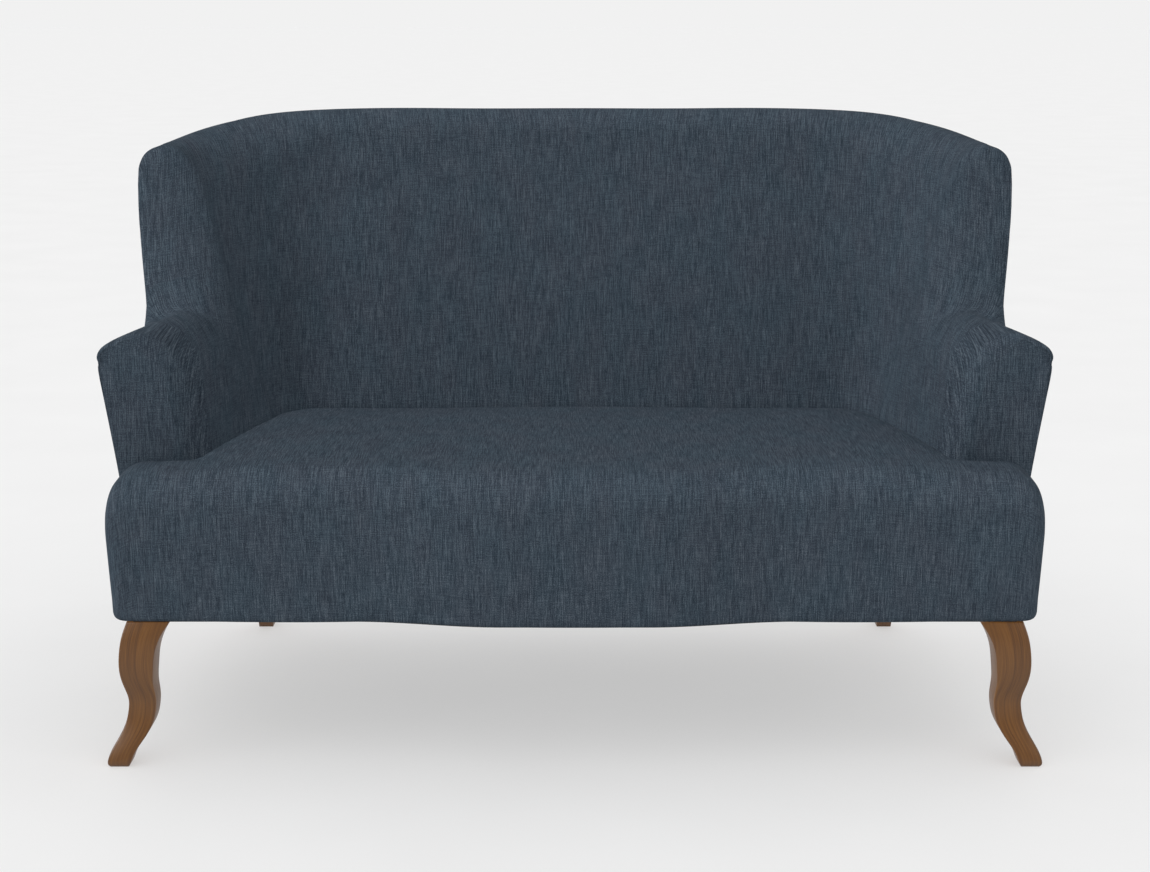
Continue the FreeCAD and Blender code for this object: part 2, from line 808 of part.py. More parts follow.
def plan_outline(inset, low, high):
    """The seat between the arms and, in front of them, its full width."""
    side = size("seat_front_half") + 40
    front = -nose_forward - 40
    step = size("arm_setback") - touch - inset
    gap = touch + inset
    half = [(side, front), (side, step), (inner_half_front - gap, step),
            (inner_half_rear - gap, pivot_y)]
    corner = []
    for station in CORNER_STATIONS:
        angle = math.radians(90 * (station - 1))
        reach = corner_reach(station, size("corner_side"), size("corner_back"),
                             INNER_CORNER_POWER) - gap
        corner.append((pivot_x + reach * math.cos(angle), pivot_y + reach * math.sin(angle)))
    right = half + corner[1:]
    outline = [place(x, depth, low) for x, depth in right]
    outline += [place(-x, depth, low) for x, depth in reversed(right)]
    return Part.Face(Part.makePolygon(outline + outline[:1])).extrude(Vector(0, 0, high - low))


def seat_form(inset, low):
    form = Part.makeLoft([seat_section(x, inset, low) for x in seat_stations(inset)], True, True)
    return form.common(plan_outline(inset, low - 1, size("seat_crown_height") + 30)).Solids[0]


cover_half = size("seat_front_half")
hollow = bowed_prism(cover_half - pad_line, rail_line - touch, back_face + 80,
                     rail_bottom - 20, tuck_line)
seat_cover = seat_form(0, rail_bottom).cut(seat_form(skin, rail_bottom - 10)).cut(hollow)
keep_shape(seat_cover, "seat_cover")

rail_space = bowed_prism(side_rail_outer + touch, rail_line - touch, back_face + 80,
                         rail_bottom - 20, seat_floor)
keep_shape(seat_form(pad_line, rail_bottom + touch).cut(rail_space), "seat_pad")

hessian = plan_outline(pad_line, hessian_bottom, hessian_bottom + size("hessian_thickness"))
hessian = hessian.common(bowed_prism(side_rail_outer, rail_line, back_face + 40,
                                     hessian_bottom - 1, hessian_bottom + 5))
keep_shape(hessian, "seat_hessian")


# Dust sheet under the frame
def dust_sheet():
    edge = skin
    corner = []
    for station in CORNER_STATIONS:
        foot, angle, inner, outer = rib(station)
        reach = outer - edge
        corner.append((pivot_x + reach * math.cos(angle), pivot_y + reach * math.sin(angle)))
    outline = bow_points(wall_base_half - edge, edge + 5, leg_height)
    outline += [place(x, depth, leg_height) for x, depth in corner]
    outline += [place(-x, depth, leg_height) for x, depth in reversed(corner)]
    sheet_face = Part.Face(Part.makePolygon(outline + outline[:1]))
    sheet_face = sheet_face.extrude(Vector(0, 0, size("dust_sheet_thickness")))
    for x, depth in (front_bolt, rear_bolt):
        for side in (-1, 1):
            sheet_face = sheet_face.cut(drill(side * x, depth, leg_height - 1, rail_bottom + 1,
                                              bolt_hole))
    return sheet_face


keep_shape(dust_sheet(), "dust_cover")


# Legs
def cabriole_leg():
    """Sawn to one S on two faces: out at the knee, in at the ankle and out again at the toe."""
    knee = size("knee_swell")
    kick = size("toe_kick")
    top, broad, slim, tip = (size(alias) for alias in
                             ("front_leg_top", "knee_size", "ankle_size", "toe_size"))
    turns = (
        (0.0, kick - 3, 0.78 * tip),
        (0.02, kick, 0.93 * tip),
        (0.07, 0.95 * kick, tip),
        (0.17, 0.6 * kick, mix(slim, tip, 0.4)),
        (0.28, 0.22 * kick, slim),
        (0.37, 0.22 * knee, slim),
        (0.43, 0.15 * knee, slim),
        (0.55, 0.62 * knee, mix(broad, slim, 0.6)),
        (0.67, knee, broad),
        (0.78, 0.95 * knee, mix(broad, top, 0.15)),
        (0.90, 0.6 * knee, mix(broad, top, 0.5)),
        (1.0, 0, top),
    )
    line = Part.BSplineCurve()
    line.interpolate([Vector(out, width, share * leg_height) for share, out, width in turns])
    outer = block_inner + block
    front = block_front - size("front_leg_forward")
    sections = []
    for index in range(LEG_SECTIONS + 1):
        span = line.LastParameter - line.FirstParameter
        turn = line.value(line.FirstParameter + span * index / LEG_SECTIONS)
        corners = ((0, 0), (1, 0), (1, 1), (0, 1))
        sections.append([place(outer + turn.x - across * turn.y, front - turn.x + along * turn.y,
                               turn.z) for across, along in corners])
    leg = shell_of(sections)
    return leg.cut(drill(front_bolt[0], front_bolt[1], leg_height - size("bolt_in_leg") - touch,
                         leg_height + 1, bolt_hole))


keep_pair(cabriole_leg(), "front_leg")


def rear_leg():
    """A tapered square leg, raked back."""
    sections = []
    for share in (0.0, 1.0):
        width = mix(size("rear_leg_tip"), size("rear_leg_top"), share)
        x = rear_bolt[0] - width / 2 + size("rear_leg_splay") * (1 - share)
        depth = rear_bolt[1] - width / 2 + size("rear_leg_rake") * (1 - share)
        sections.append([place(x + across * width, depth + along * width, share * leg_height)
                         for across, along in ((0, 0), (1, 0), (1, 1), (0, 1))])
    leg = shell_of(sections)
    return leg.cut(drill(rear_bolt[0], rear_bolt[1],
                         leg_height - size("bolt_in_rear_leg") - touch, leg_height + 1,
                         bolt_hole))


keep_pair(rear_leg(), "rear_leg")

# Hanger bolts and tee nuts
nut_height = size("nut_height")


def bolts():
    shafts = []
    for (x, depth), embedded, top in ((front_bolt, size("bolt_in_leg"), rail_top),
                                      (rear_bolt, size("bolt_in_rear_leg"),
                                       hessian_bottom)):
        for side in (-1, 1):
            shafts.append(drill(side * x, depth, leg_height - embedded, top + nut_height,
                                size("bolt_diameter") / 2))
    return Part.makeCompound(shafts)


def tee_nuts():
    nuts = []
    for (x, depth), top in ((front_bolt, rail_top), (rear_bolt, hessian_bottom)):
        for side in (-1, 1):
            disc = drill(side * x, depth, top, top + nut_height - 1, size("nut_flange") / 2)
            nuts.append(disc.cut(drill(side * x, depth, top - 1, top + nut_height, bolt_hole)))
    return Part.makeCompound(nuts)


keep_shape(bolts(), "leg_bolts")
keep_shape(tee_nuts(), "tee_nuts")

doc.recompute()
for feature in doc.Objects:
    for bad in ("Invalid", "Error"):
        if bad in feature.State:
            raise RuntimeError("%s is %s" % (feature.Label, bad))
for feature in parts:
    if feature.Shape.isNull() or not feature.Shape.isValid():
        raise RuntimeError("%s has no valid shape" % feature.Label)
for feature in parts:
    feature.Shape.exportStep("parts/%s.step" % feature.Label)
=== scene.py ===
import json
import math

import bmesh
import bpy
import numpy as np
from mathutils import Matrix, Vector, noise


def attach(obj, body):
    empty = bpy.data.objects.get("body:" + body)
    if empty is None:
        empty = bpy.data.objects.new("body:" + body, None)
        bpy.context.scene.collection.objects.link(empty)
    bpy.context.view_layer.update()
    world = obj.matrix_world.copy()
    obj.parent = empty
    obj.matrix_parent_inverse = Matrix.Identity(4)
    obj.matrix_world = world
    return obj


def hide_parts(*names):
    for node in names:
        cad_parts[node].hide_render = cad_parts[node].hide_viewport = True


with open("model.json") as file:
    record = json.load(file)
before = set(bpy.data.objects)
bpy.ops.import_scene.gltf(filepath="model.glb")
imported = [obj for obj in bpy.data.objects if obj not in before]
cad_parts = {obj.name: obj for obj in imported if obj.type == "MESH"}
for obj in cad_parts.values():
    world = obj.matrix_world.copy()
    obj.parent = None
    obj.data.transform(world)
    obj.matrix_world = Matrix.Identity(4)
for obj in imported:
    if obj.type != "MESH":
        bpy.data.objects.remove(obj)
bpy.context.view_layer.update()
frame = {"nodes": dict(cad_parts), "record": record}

MM = 0.001

# Sizes of the settee, in millimetres and degrees, as in its construction
LEG_HEIGHT = 218
RAIL_BOTTOM = 219
SEAT_LINE = 443
SEAT_CROWN = 457
SEAT_HALF = 698
NOSE_BOW = 29
NOSE_INSET = 23
NOSE_ROLL = 52
SEAT_CORNER = 18
ARM_FRONT = 150
WALL_FRONT = 155
BACK_FACE = 565
BACK_BASE = 700
INNER_FRONT = 575
INNER_REAR = 512
CORNER_SIDE = 112
CORNER_BACK = 95
BASE_HALF = 677
ARM_TOP = 636
ARM_FALL = 15
CREST_TOP = 943
CREST_DROP = 72
WING_START = 368
WING_DEPTH = 118
ARM_LEAN = 11
WING_LEAN = 15
BACK_LEAN = 13.5
ARM_FLARE = 46
WAIST_FLARE = 26
WING_FLARE = 44
BACK_OVERHANG = 78
ARM_ROLL = 74
WING_ROLL = 92
CREST_ROLL = 44
ARM_OUTER_ROLL = 26
CREST_OUTER_ROLL = 38
INNER_CORNER_POWER = 2.6
OUTER_CORNER_POWER = 3.0
SWEPT_CORNER_POWER = 1.75
CREST_POWER = 6.6
WING_POWER = 2.4
WING_BLEND = 22
WING_ROLL_STRETCH = 1.55
MIDDLE = 386
PIVOT_X = INNER_REAR - CORNER_SIDE
PIVOT_Y = BACK_FACE - CORNER_BACK
ARM_SEAM = 0.86
BACK_SEAM = 1.5
CREST_END_REACH = 7
# How far the outer faces bow before their middle, as shares of their flare
ARM_BELLY = 0.42
WING_BELLY = -0.04
BACK_BELLY = 0.33


def mix(first, second, share):
    return first + (second - first) * share


def ease(start, end, value):
    share = min(max((value - start) / (end - start), 0.0), 1.0)
    return share * share * (3 - 2 * share)


def place(x, depth, height):
    """A point in metres, from millimetres behind the line of the seat's front corners."""
    return (x * MM, (depth - MIDDLE) * MM, height * MM)


# The wall of arms, wings and back: stations 0 to 6 run from one arm's front to the other's
def corner_reach(angle, side, back, power):
    """Reach of a softly squared corner at an angle, from its side and back reaches."""
    across = abs(math.cos(angle)) / side
    along = abs(math.sin(angle)) / back
    return (across ** power + along ** power) ** (-1 / power)


def rib(station):
    """A rib's foot, its angle, and the reaches of its inner and outer faces at the bottom."""
    if station <= 1:
        inner = mix(INNER_FRONT, INNER_REAR, station) - PIVOT_X
        return (PIVOT_X, mix(WALL_FRONT, PIVOT_Y, station)), 0.0, inner, BASE_HALF - PIVOT_X
    if station <= 2:
        angle = math.radians(90 * (station - 1))
        inner = corner_reach(angle, CORNER_SIDE, CORNER_BACK, INNER_CORNER_POWER)
        outer = corner_reach(angle, BASE_HALF - PIVOT_X, BACK_BASE - PIVOT_Y, OUTER_CORNER_POWER)
        return (PIVOT_X, PIVOT_Y), angle, inner, outer
    return (PIVOT_X * (3 - station), PIVOT_Y), math.pi / 2, CORNER_BACK, BACK_BASE - PIVOT_Y


def half_of(station):
    """The station of the right half that this one mirrors."""
    return station if station <= 3 else 6 - station


def at(station, reach, height):
    """A point on a rib, in metres."""
    foot, angle = rib(half_of(station))[:2]
    side = 1 if station <= 3 else -1
    return place(side * (foot[0] + reach * math.cos(angle)), foot[1] + reach * math.sin(angle),
                 height)


def lean(station):
    wing = mix(ARM_LEAN, WING_LEAN, ease(0.3, 1, station))
    return math.radians(mix(wing, BACK_LEAN, ease(1.2, 2, station)))


def flare(station):
    arm = mix(ARM_FLARE, WAIST_FLARE, ease(0, 0.65, station))
    wing = mix(arm, WING_FLARE, ease(0.86, 1.05, station))
    return mix(wing, BACK_OVERHANG, ease(1.0, 1.9, station))


def belly(station):
    wing = mix(ARM_BELLY, WING_BELLY, ease(0.2, 0.9, station))
    return mix(wing, BACK_BELLY, ease(1.2, 2, station))


def wall_top(station):
    """The height of the wall: the arm, the wing's sweep, and the crest with its falling ends."""
    foot, angle, _, outer = rib(station)
    reach = outer + flare(station) - CREST_OUTER_ROLL
    across = abs(foot[0] + reach * math.cos(angle))
    share = across / (BASE_HALF + ARM_FLARE + CREST_END_REACH)
    crest = CREST_TOP - CREST_DROP * share ** CREST_POWER
    if station >= 2:
        return crest
    depth = foot[1] + reach * math.sin(angle)
    rise = max((depth - WING_START) / WING_DEPTH, 0.0)
    wing = ARM_TOP + (crest - ARM_TOP) * rise ** WING_POWER
    if wing > crest + 10 * WING_BLEND:
        return crest
    return crest - WING_BLEND * math.log(1 + math.exp((crest - wing) / WING_BLEND))


def face_arc(station):
    """The outer face's arc at a station: foot, middle and seam, its tilt at the seam, and roll."""
    outer = rib(station)[3]
    fall = mix(ARM_FALL, 4, ease(0.6, 1, station))
    roll = mix(ARM_OUTER_ROLL, CREST_OUTER_ROLL, ease(0.4, 1, station))
    spread = flare(station)
    top = wall_top(station) - fall
    tilt = math.atan(spread / (top - roll - RAIL_BOTTOM) * (3 - 4 * belly(station)))
    seam = top - roll * (1 + math.sin(tilt))
    middle = (outer + belly(station) * spread, (RAIL_BOTTOM + seam) / 2)
    return (outer, RAIL_BOTTOM), middle, (outer + spread, seam), tilt, roll


def outer_face(station, height):
    """The outer face's reach at a height, on a parabola through its arc's three points."""
    (x0, z0), (x1, _), (x2, z2) = face_arc(station)[:3]
    share = (height - z0) / (z2 - z0)
    bend = x1 - (x0 + x2) / 2
    return mix(x0, x2, share) + 4 * bend * share * (1 - share)


def inner_reach(station, height):
    """The inner face's reach before its lean: its corner sweeps wider as it rises."""
    inner = rib(station)[2]
    if station <= 1 or station >= 2:
        return inner
    angle = rib(station)[1]
    sweep = ease(SEAT_LINE + 20, SEAT_LINE + 250, height)
    power = mix(INNER_CORNER_POWER, SWEPT_CORNER_POWER, sweep)
    return corner_reach(angle, CORNER_SIDE, CORNER_BACK, power)


def inner_section(station, low, rows):
    """The inner face, roll, top and outer roll, as evenly counted points up the section."""
    inner = rib(station)[2]
    slope = lean(station)
    width = mix(mix(ARM_ROLL, WING_ROLL, ease(0.5, 1, station)), CREST_ROLL,
                ease(1.5, 2, station))
    tall = mix(mix(1, WING_ROLL_STRETCH, ease(0.5, 1, station)), 1.2, ease(1.2, 2, station))
    roll_slope = math.atan(tall * math.tan(slope))
    top = wall_top(station)
    seam, tilt, outer_roll = face_arc(station)[2:]
    far = (seam[0] - outer_roll * math.cos(tilt), seam[1] + outer_roll * math.sin(tilt))
    room = far[0] - inner_reach(station, top) - math.tan(slope) * (top - SEAT_LINE) - 3
    width = min(width, room / (1 / math.cos(roll_slope) - math.tan(slope) * tall))
    centre_z = top - width * tall
    roll_start = centre_z + width * tall * math.sin(roll_slope)
    centre_x = (inner_reach(station, roll_start) + math.tan(slope) * (centre_z - SEAT_LINE)
                + width / math.cos(roll_slope))
    points = []
    first = math.pi - roll_slope
    start = (centre_x + width * math.cos(first), centre_z + width * tall * math.sin(first))
    for row in range(rows[0]):
        height = mix(low, SEAT_LINE, row / rows[0])
        points.append((inner, height))
    for row in range(rows[1]):
        height = mix(SEAT_LINE, start[1], row / rows[1])
        leaning = math.tan(slope) * (height - SEAT_LINE)
        points.append((inner_reach(station, height) + leaning, height))
    for row in range(rows[2]):
        turn = mix(first, math.pi / 2, row / rows[2])
        points.append((centre_x + width * math.cos(turn), centre_z + width * tall * math.sin(turn)))
    near = (centre_x, centre_z + width * tall)
    after = (far[0], far[1] + outer_roll)
    for row in range(rows[3]):
        share = row / rows[3]
        points.append((mix(near[0], after[0], share), mix(near[1], after[1], share)))
    for row in range(rows[4] + 1):
        turn = mix(math.pi / 2, -tilt, row / rows[4])
        points.append((far[0] + outer_roll * math.cos(turn), far[1] + outer_roll * math.sin(turn)))
    return points


# Making meshes
def smooth_mesh(name, points, faces, uvs, material):
    """A smooth mesh with its cloth or grain map, one pair of lengths at each point."""
    mesh = bpy.data.meshes.new(name)
    mesh.from_pydata([tuple(p) for p in points], [], faces)
    layer = mesh.uv_layers.new(name="weave")
    loops = np.empty(len(mesh.loops), dtype=np.int32)
    mesh.loops.foreach_get("vertex_index", loops)
    layer.data.foreach_set("uv", np.asarray(uvs, dtype=np.float32)[loops].ravel())
    for polygon in mesh.polygons:
        polygon.use_smooth = True
    mesh.materials.append(material)
    mesh.update()
    thing = bpy.data.objects.new(name, mesh)
    bpy.context.scene.collection.objects.link(thing)
    return thing


def grid_mesh(name, grid, uv, material, flip=False):
    """A surface through a grid of points, columns by rows, with cloth lengths as its map."""
    grid = np.asarray(grid, dtype=float)
    columns, rows = grid.shape[:2]
    faces = []
    for column in range(columns - 1):
        for row in range(rows - 1):
            first = column * rows + row
            face = (first, first + rows, first + rows + 1, first + 1)
            faces.append(face[::-1] if flip else face)
    return smooth_mesh(name, grid.reshape(-1, 3), faces, np.asarray(uv).reshape(-1, 2), material)


def lengths(grid, axis):
    """Running lengths along one axis of a grid of points."""
    steps = np.linalg.norm(np.diff(grid, axis=axis), axis=2)
    zero = np.zeros_like(np.take(steps, [0], axis=axis))
    return np.cumsum(np.concatenate([zero, steps], axis=axis), axis=axis)


def cloth_map(grid, reference_row):
    """Threads run up the columns: across is measured on one row, up along each column."""
    grid = np.asarray(grid)
    across = lengths(grid, 0)[:, reference_row]
    up = lengths(grid, 1)
    up = up - up[:, reference_row][:, None]
    return np.stack([np.repeat(across[:, None], grid.shape[1], axis=1), up], axis=2)


def unit(vectors):
    return vectors / np.maximum(np.linalg.norm(vectors, axis=-1, keepdims=True), 1e-12)


def fit_steps(across_steps, up_steps, start):
    """Heights of a field whose steps along a grid come as close as they can to the given ones."""
    def spread(field):
        return field[1:] - field[:-1], field[:, 1:] - field[:, :-1]

    def gather(first, second):
        out = np.zeros_like(start)
        out[1:] += first
        out[:-1] -= first
        out[:, 1:] += second
        out[:, :-1] -= second
        return out

    field = start.copy()
    first, second = spread(field)
    left = gather(across_steps - first, up_steps - second)
    way = left.copy()
    size = float((left * left).sum())
    for _ in range(700):
        pushed = gather(*spread(way))
        step = size / max(float((way * pushed).sum()), 1e-30)
        field += step * way
        left -= step * pushed
        new_size = float((left * left).sum())
        way = left + way * (new_size / max(size, 1e-30))
        size = new_size
    return field


def thread_map(grid, stations, reference_row, last_rising_row):
    """A cloth map whose threads stand upright wherever the surface does."""
    normal = normals_of(grid)
    along = unit(np.gradient(grid, axis=1))
    rising = np.zeros_like(grid)
    rising[:, :, 2] = 1.0
    rising -= normal * normal[:, :, 2:3]
    halves = [half_of(station) for station in stations]
    wing = np.array([ease(0.74, 0.9, half) * (1 - ease(1.5, 1.8, half)) for half in halves])
    wing = wing[:, None, None]
    fade = np.clip((last_rising_row + 3 - np.arange(grid.shape[1])) / 6, 0, 1)[None, :, None]
    up = unit(rising * (fade + (1 - fade) * wing) + (0.3 * (1 - wing) + 0.02) * along)
    up = unit(up - normal * (up * normal).sum(axis=2, keepdims=True))
    start = cloth_map(grid, reference_row)
    first = ((up[1:] + up[:-1]) / 2 * (grid[1:] - grid[:-1])).sum(axis=2)
    second = ((up[:, 1:] + up[:, :-1]) / 2 * (grid[:, 1:] - grid[:, :-1])).sum(axis=2)
    rise = fit_steps(first, second, start[:, :, 1])
    height = grid[:, :, 2] / MM
    leaning = math.tan(math.radians(BACK_LEAN)) * np.maximum(height - SEAT_LINE, 0)
    forward = (BACK_FACE + leaning - MIDDLE) * MM - grid[:, :, 1]
    forward = 0.012 * np.log1p(np.exp(np.clip(forward / 0.012, -30, 30)))
    across = grid[:, :, 0] + np.sign(grid[:, :, 0]) * 0.8 * forward
    return np.stack([across, rise], axis=2)


def fold_lines(grid, routes):
    """How far given folds raise or sink a surface: each has its route, width and height."""
    out = np.zeros(grid.shape[:2])
    for route, width, height in routes:
        route = np.array([place(*point) for point in route])
        nearest = np.full(grid.shape[:2], 1e9)
        share_there = np.zeros(grid.shape[:2])
        run = np.concatenate([[0], np.cumsum(np.linalg.norm(np.diff(route, axis=0), axis=1))])
        for k in range(len(route) - 1):
            way = route[k + 1] - route[k]
            share = ((grid - route[k]) @ way / (way @ way)).clip(0, 1)
            gap = np.linalg.norm(grid - route[k] - share[:, :, None] * way, axis=2)
            closer = gap < nearest
            nearest = np.where(closer, gap, nearest)
            here = (run[k] + share * (run[k + 1] - run[k])) / run[-1]
            share_there = np.where(closer, here, share_there)
        taper = np.sin(np.pi * np.clip(share_there, 0, 1)) ** 0.7
        out += height * MM * taper * np.exp(-(nearest / (width * MM)) ** 2)
    return out


def normals_of(grid):
    """Unit normals at a grid's points."""
    return unit(np.cross(np.gradient(grid, axis=0), np.gradient(grid, axis=1)))


def soft_waves(grid, amount, scale, seed):
    """Slow unevenness of hand-built padding, in metres along the surface."""
    out = np.empty(grid.shape[:2])
    for i in range(grid.shape[0]):
        for j in range(grid.shape[1]):
            x, y, z = grid[i, j] * scale
            out[i, j] = noise.noise(Vector((abs(x) + seed, y, z)))
    return out * amount


def thicken(thing, thickness):
    """Gives a cover its thickness, inwards."""
    wall = thing.modifiers.new("cloth", "SOLIDIFY")
    wall.thickness = thickness
    wall.offset = -1.0
    apply_modifiers(thing)


def apply_modifiers(thing):
    """Makes a piece's modifiers real; rims stay crisp and don't darken the cloth beside them."""
    graph = bpy.context.evaluated_depsgraph_get()
    mesh = bpy.data.meshes.new_from_object(thing.evaluated_get(graph), depsgraph=graph)
    mesh.set_sharp_from_angle(angle=math.radians(42))
    thing.modifiers.clear()
    thing.data = mesh


def mirrored_copy(thing, name):
    """The same piece on the other side, with its map kept."""
    mesh = thing.data.copy()
    mesh.name = name
    coords = np.empty(len(mesh.vertices) * 3)
    mesh.vertices.foreach_get("co", coords)
    coords[0::3] *= -1
    mesh.vertices.foreach_set("co", coords)
    mesh.flip_normals()
    mesh.update()
    other = bpy.data.objects.new(name, mesh)
    bpy.context.scene.collection.objects.link(other)
    return other


# Camera at the photographed height and tilt
LENS = 62.6
CAMERA_PLACE = (0.0, -3.2137, 1.1239)
CAMERA_TILT = 12.23


def make_camera():
    data = bpy.data.cameras.new("camera")
    data.sensor_fit = "HORIZONTAL"
    data.sensor_width = 36
    data.lens = LENS
    camera = bpy.data.objects.new("camera", data)
    camera.location = CAMERA_PLACE
    camera.rotation_euler = (math.radians(90 - CAMERA_TILT), 0, 0)
    bpy.context.scene.collection.objects.link(camera)
    bpy.context.scene.camera = camera


make_camera()


# Materials
def node_material(name):
    material = bpy.data.materials.new(name)
    material.use_nodes = True
    tree = material.node_tree
    tree.nodes.clear()
    shader = tree.nodes.new("ShaderNodeBsdfPrincipled")
    output = tree.nodes.new("ShaderNodeOutputMaterial")
    tree.links.new(shader.outputs["BSDF"], output.inputs["Surface"])
    return material, tree, shader


class Nodes:
    """Short hands for wiring a material's nodes."""

    def __init__(self, tree):
        self.tree = tree

    def add(self, kind, **settings):
        node = self.tree.nodes.new(kind)
        for key, value in settings.items():
            setattr(node, key, value)
        return node

    def link(self, source, target):
        self.tree.links.new(source, target)
        return target

    def put(self, socket, value):
        if isinstance(value, bpy.types.NodeSocket):
            self.link(value, socket)
        else:
            socket.default_value = value

    def math(self, operation, first, second):
        node = self.add("ShaderNodeMath", operation=operation)
        self.put(node.inputs[0], first)
        self.put(node.inputs[1], second)
        return node.outputs[0]

    def mapping(self, vector, scale, location=(0, 0, 0), rotation=(0, 0, 0)):
        node = self.add("ShaderNodeMapping")
        self.link(vector, node.inputs["Vector"])
        node.inputs["Scale"].default_value = scale
        node.inputs["Location"].default_value = location
        node.inputs["Rotation"].default_value = rotation
        return node.outputs[0]

    def noise(self, vector, scale, detail=2.0, roughness=0.5):
        node = self.add("ShaderNodeTexNoise")
        self.link(vector, node.inputs["Vector"])
        node.inputs["Scale"].default_value = scale
        node.inputs["Detail"].default_value = detail
        node.inputs["Roughness"].default_value = roughness
        return node.outputs["Fac"]

    def spread(self, value, low, high, out_low=0.0, out_high=1.0):
        node = self.add("ShaderNodeMapRange")
        self.put(node.inputs["Value"], value)
        node.inputs["From Min"].default_value = low
        node.inputs["From Max"].default_value = high
        node.inputs["To Min"].default_value = out_low
        node.inputs["To Max"].default_value = out_high
        return node.outputs["Result"]

    def blend(self, share, first, second):
        node = self.add("ShaderNodeMix", data_type="RGBA")
        self.put(node.inputs[0], share)
        self.put(node.inputs[6], first)
        self.put(node.inputs[7], second)
        return node.outputs[2]

    def ramp(self, value, stops):
        node = self.add("ShaderNodeValToRGB")
        self.link(value, node.inputs[0])
        ramp = node.color_ramp
        while len(ramp.elements) < len(stops):
            ramp.elements.new(0.5)
        for element, (position, colour) in zip(ramp.elements, stops):
            element.position = position
            element.color = colour
        return node.outputs[0]

    def bump(self, height, strength, distance):
        node = self.add("ShaderNodeBump")
        node.inputs["Strength"].default_value = strength
        node.inputs["Distance"].default_value = distance
        self.link(height, node.inputs["Height"])
        return node.outputs[0]

    def moved(self, vector, amount, axis):
        """A map shifted along one axis by a texture's amount."""
        offset = self.add("ShaderNodeCombineXYZ")
        self.link(amount, offset.inputs[axis])
        moved = self.add("ShaderNodeVectorMath", operation="ADD")
        self.link(vector, moved.inputs[0])
        self.link(offset.outputs[0], moved.inputs[1])
        return moved.outputs[0]


def srgb(red, green, blue):
    """A colour written as it is seen, in 0 to 255."""
    def straight(value):
        value /= 255
        return value / 12.92 if value <= 0.04045 else ((value + 0.055) / 1.055) ** 2.4
    return (straight(red), straight(green), straight(blue), 1.0)


def slid(n, uv, scale, axis, reach):
    """A map on which each thread starts at a place of its own."""
    shift = n.noise(n.mapping(uv, scale, (3, 3, 0)), 1.0, 0.0)
    return n.moved(uv, n.math("MULTIPLY", shift, reach), axis)


def make_linen():
    """Slate blue linen: slubbed warp up the cloth, finer weft across it, on a map in metres."""
    material, tree, shader = node_material("slate_linen")
    n = Nodes(tree)
    uv = n.add("ShaderNodeUVMap", uv_map="weave").outputs[0]
    warp = slid(n, uv, (430, 0.7, 1), 1, 0.09)
    weft = slid(n, uv, (0.7, 520, 1), 0, 0.07)
    warp_slub = n.noise(n.mapping(warp, (620, 26, 1)), 1.0, 2.0, 0.6)
    warp_fine = n.noise(n.mapping(warp, (980, 120, 1), (7, 3, 0)), 1.0, 1.0, 0.5)
    weft_slub = n.noise(n.mapping(weft, (34, 720, 1), (2, 9, 0)), 1.0, 2.0, 0.6)
    grain = n.noise(n.mapping(uv, (760, 640, 1), (4, 1, 0)), 1.0, 0.0)
    patches = n.noise(n.mapping(uv, (17, 9, 1), (11, 5, 0)), 1.0, 3.0, 0.6)
    streaks = n.noise(n.mapping(uv, (75, 8, 1), (1, 8, 0)), 1.0, 2.0, 0.5)
    tone = 0.5
    for threads, weight in ((warp_slub, 1.6875), (warp_fine, 1.08), (weft_slub, 0.837),
                            (grain, 0.945), (streaks, 0.27)):
        part = n.math("MULTIPLY", n.math("SUBTRACT", threads, 0.5), weight)
        tone = n.math("ADD", tone, part)
    teal = n.ramp(tone, [(0.0, srgb(36, 45, 54)), (0.5, srgb(55, 66, 76)),
                         (1.0, srgb(85, 97, 107))])
    plum = n.ramp(tone, [(0.0, srgb(38, 45, 54)), (0.5, srgb(57, 65.5, 75.5)),
                         (1.0, srgb(88, 97, 106))])
    colour = n.blend(n.spread(patches, 0.36, 0.64), teal, plum)
    flecks = n.noise(n.mapping(uv, (330, 210, 1), (9, 9, 0)), 1.0, 1.0)
    colour = n.blend(n.spread(flecks, 0.735, 0.80, 0.0, 0.35), colour, srgb(112, 122, 128))
    n.link(colour, shader.inputs["Base Color"])
    shader.inputs["Roughness"].default_value = 0.92
    shader.inputs["Specular IOR Level"].default_value = 0.06
    height = n.math("ADD", n.math("MULTIPLY", warp_slub, 0.6), n.math("MULTIPLY", weft_slub, 0.5))
    height = n.math("ADD", height, n.math("MULTIPLY", grain, 0.5))
    n.link(n.bump(height, 0.35, 0.0006), shader.inputs["Normal"])
    return material


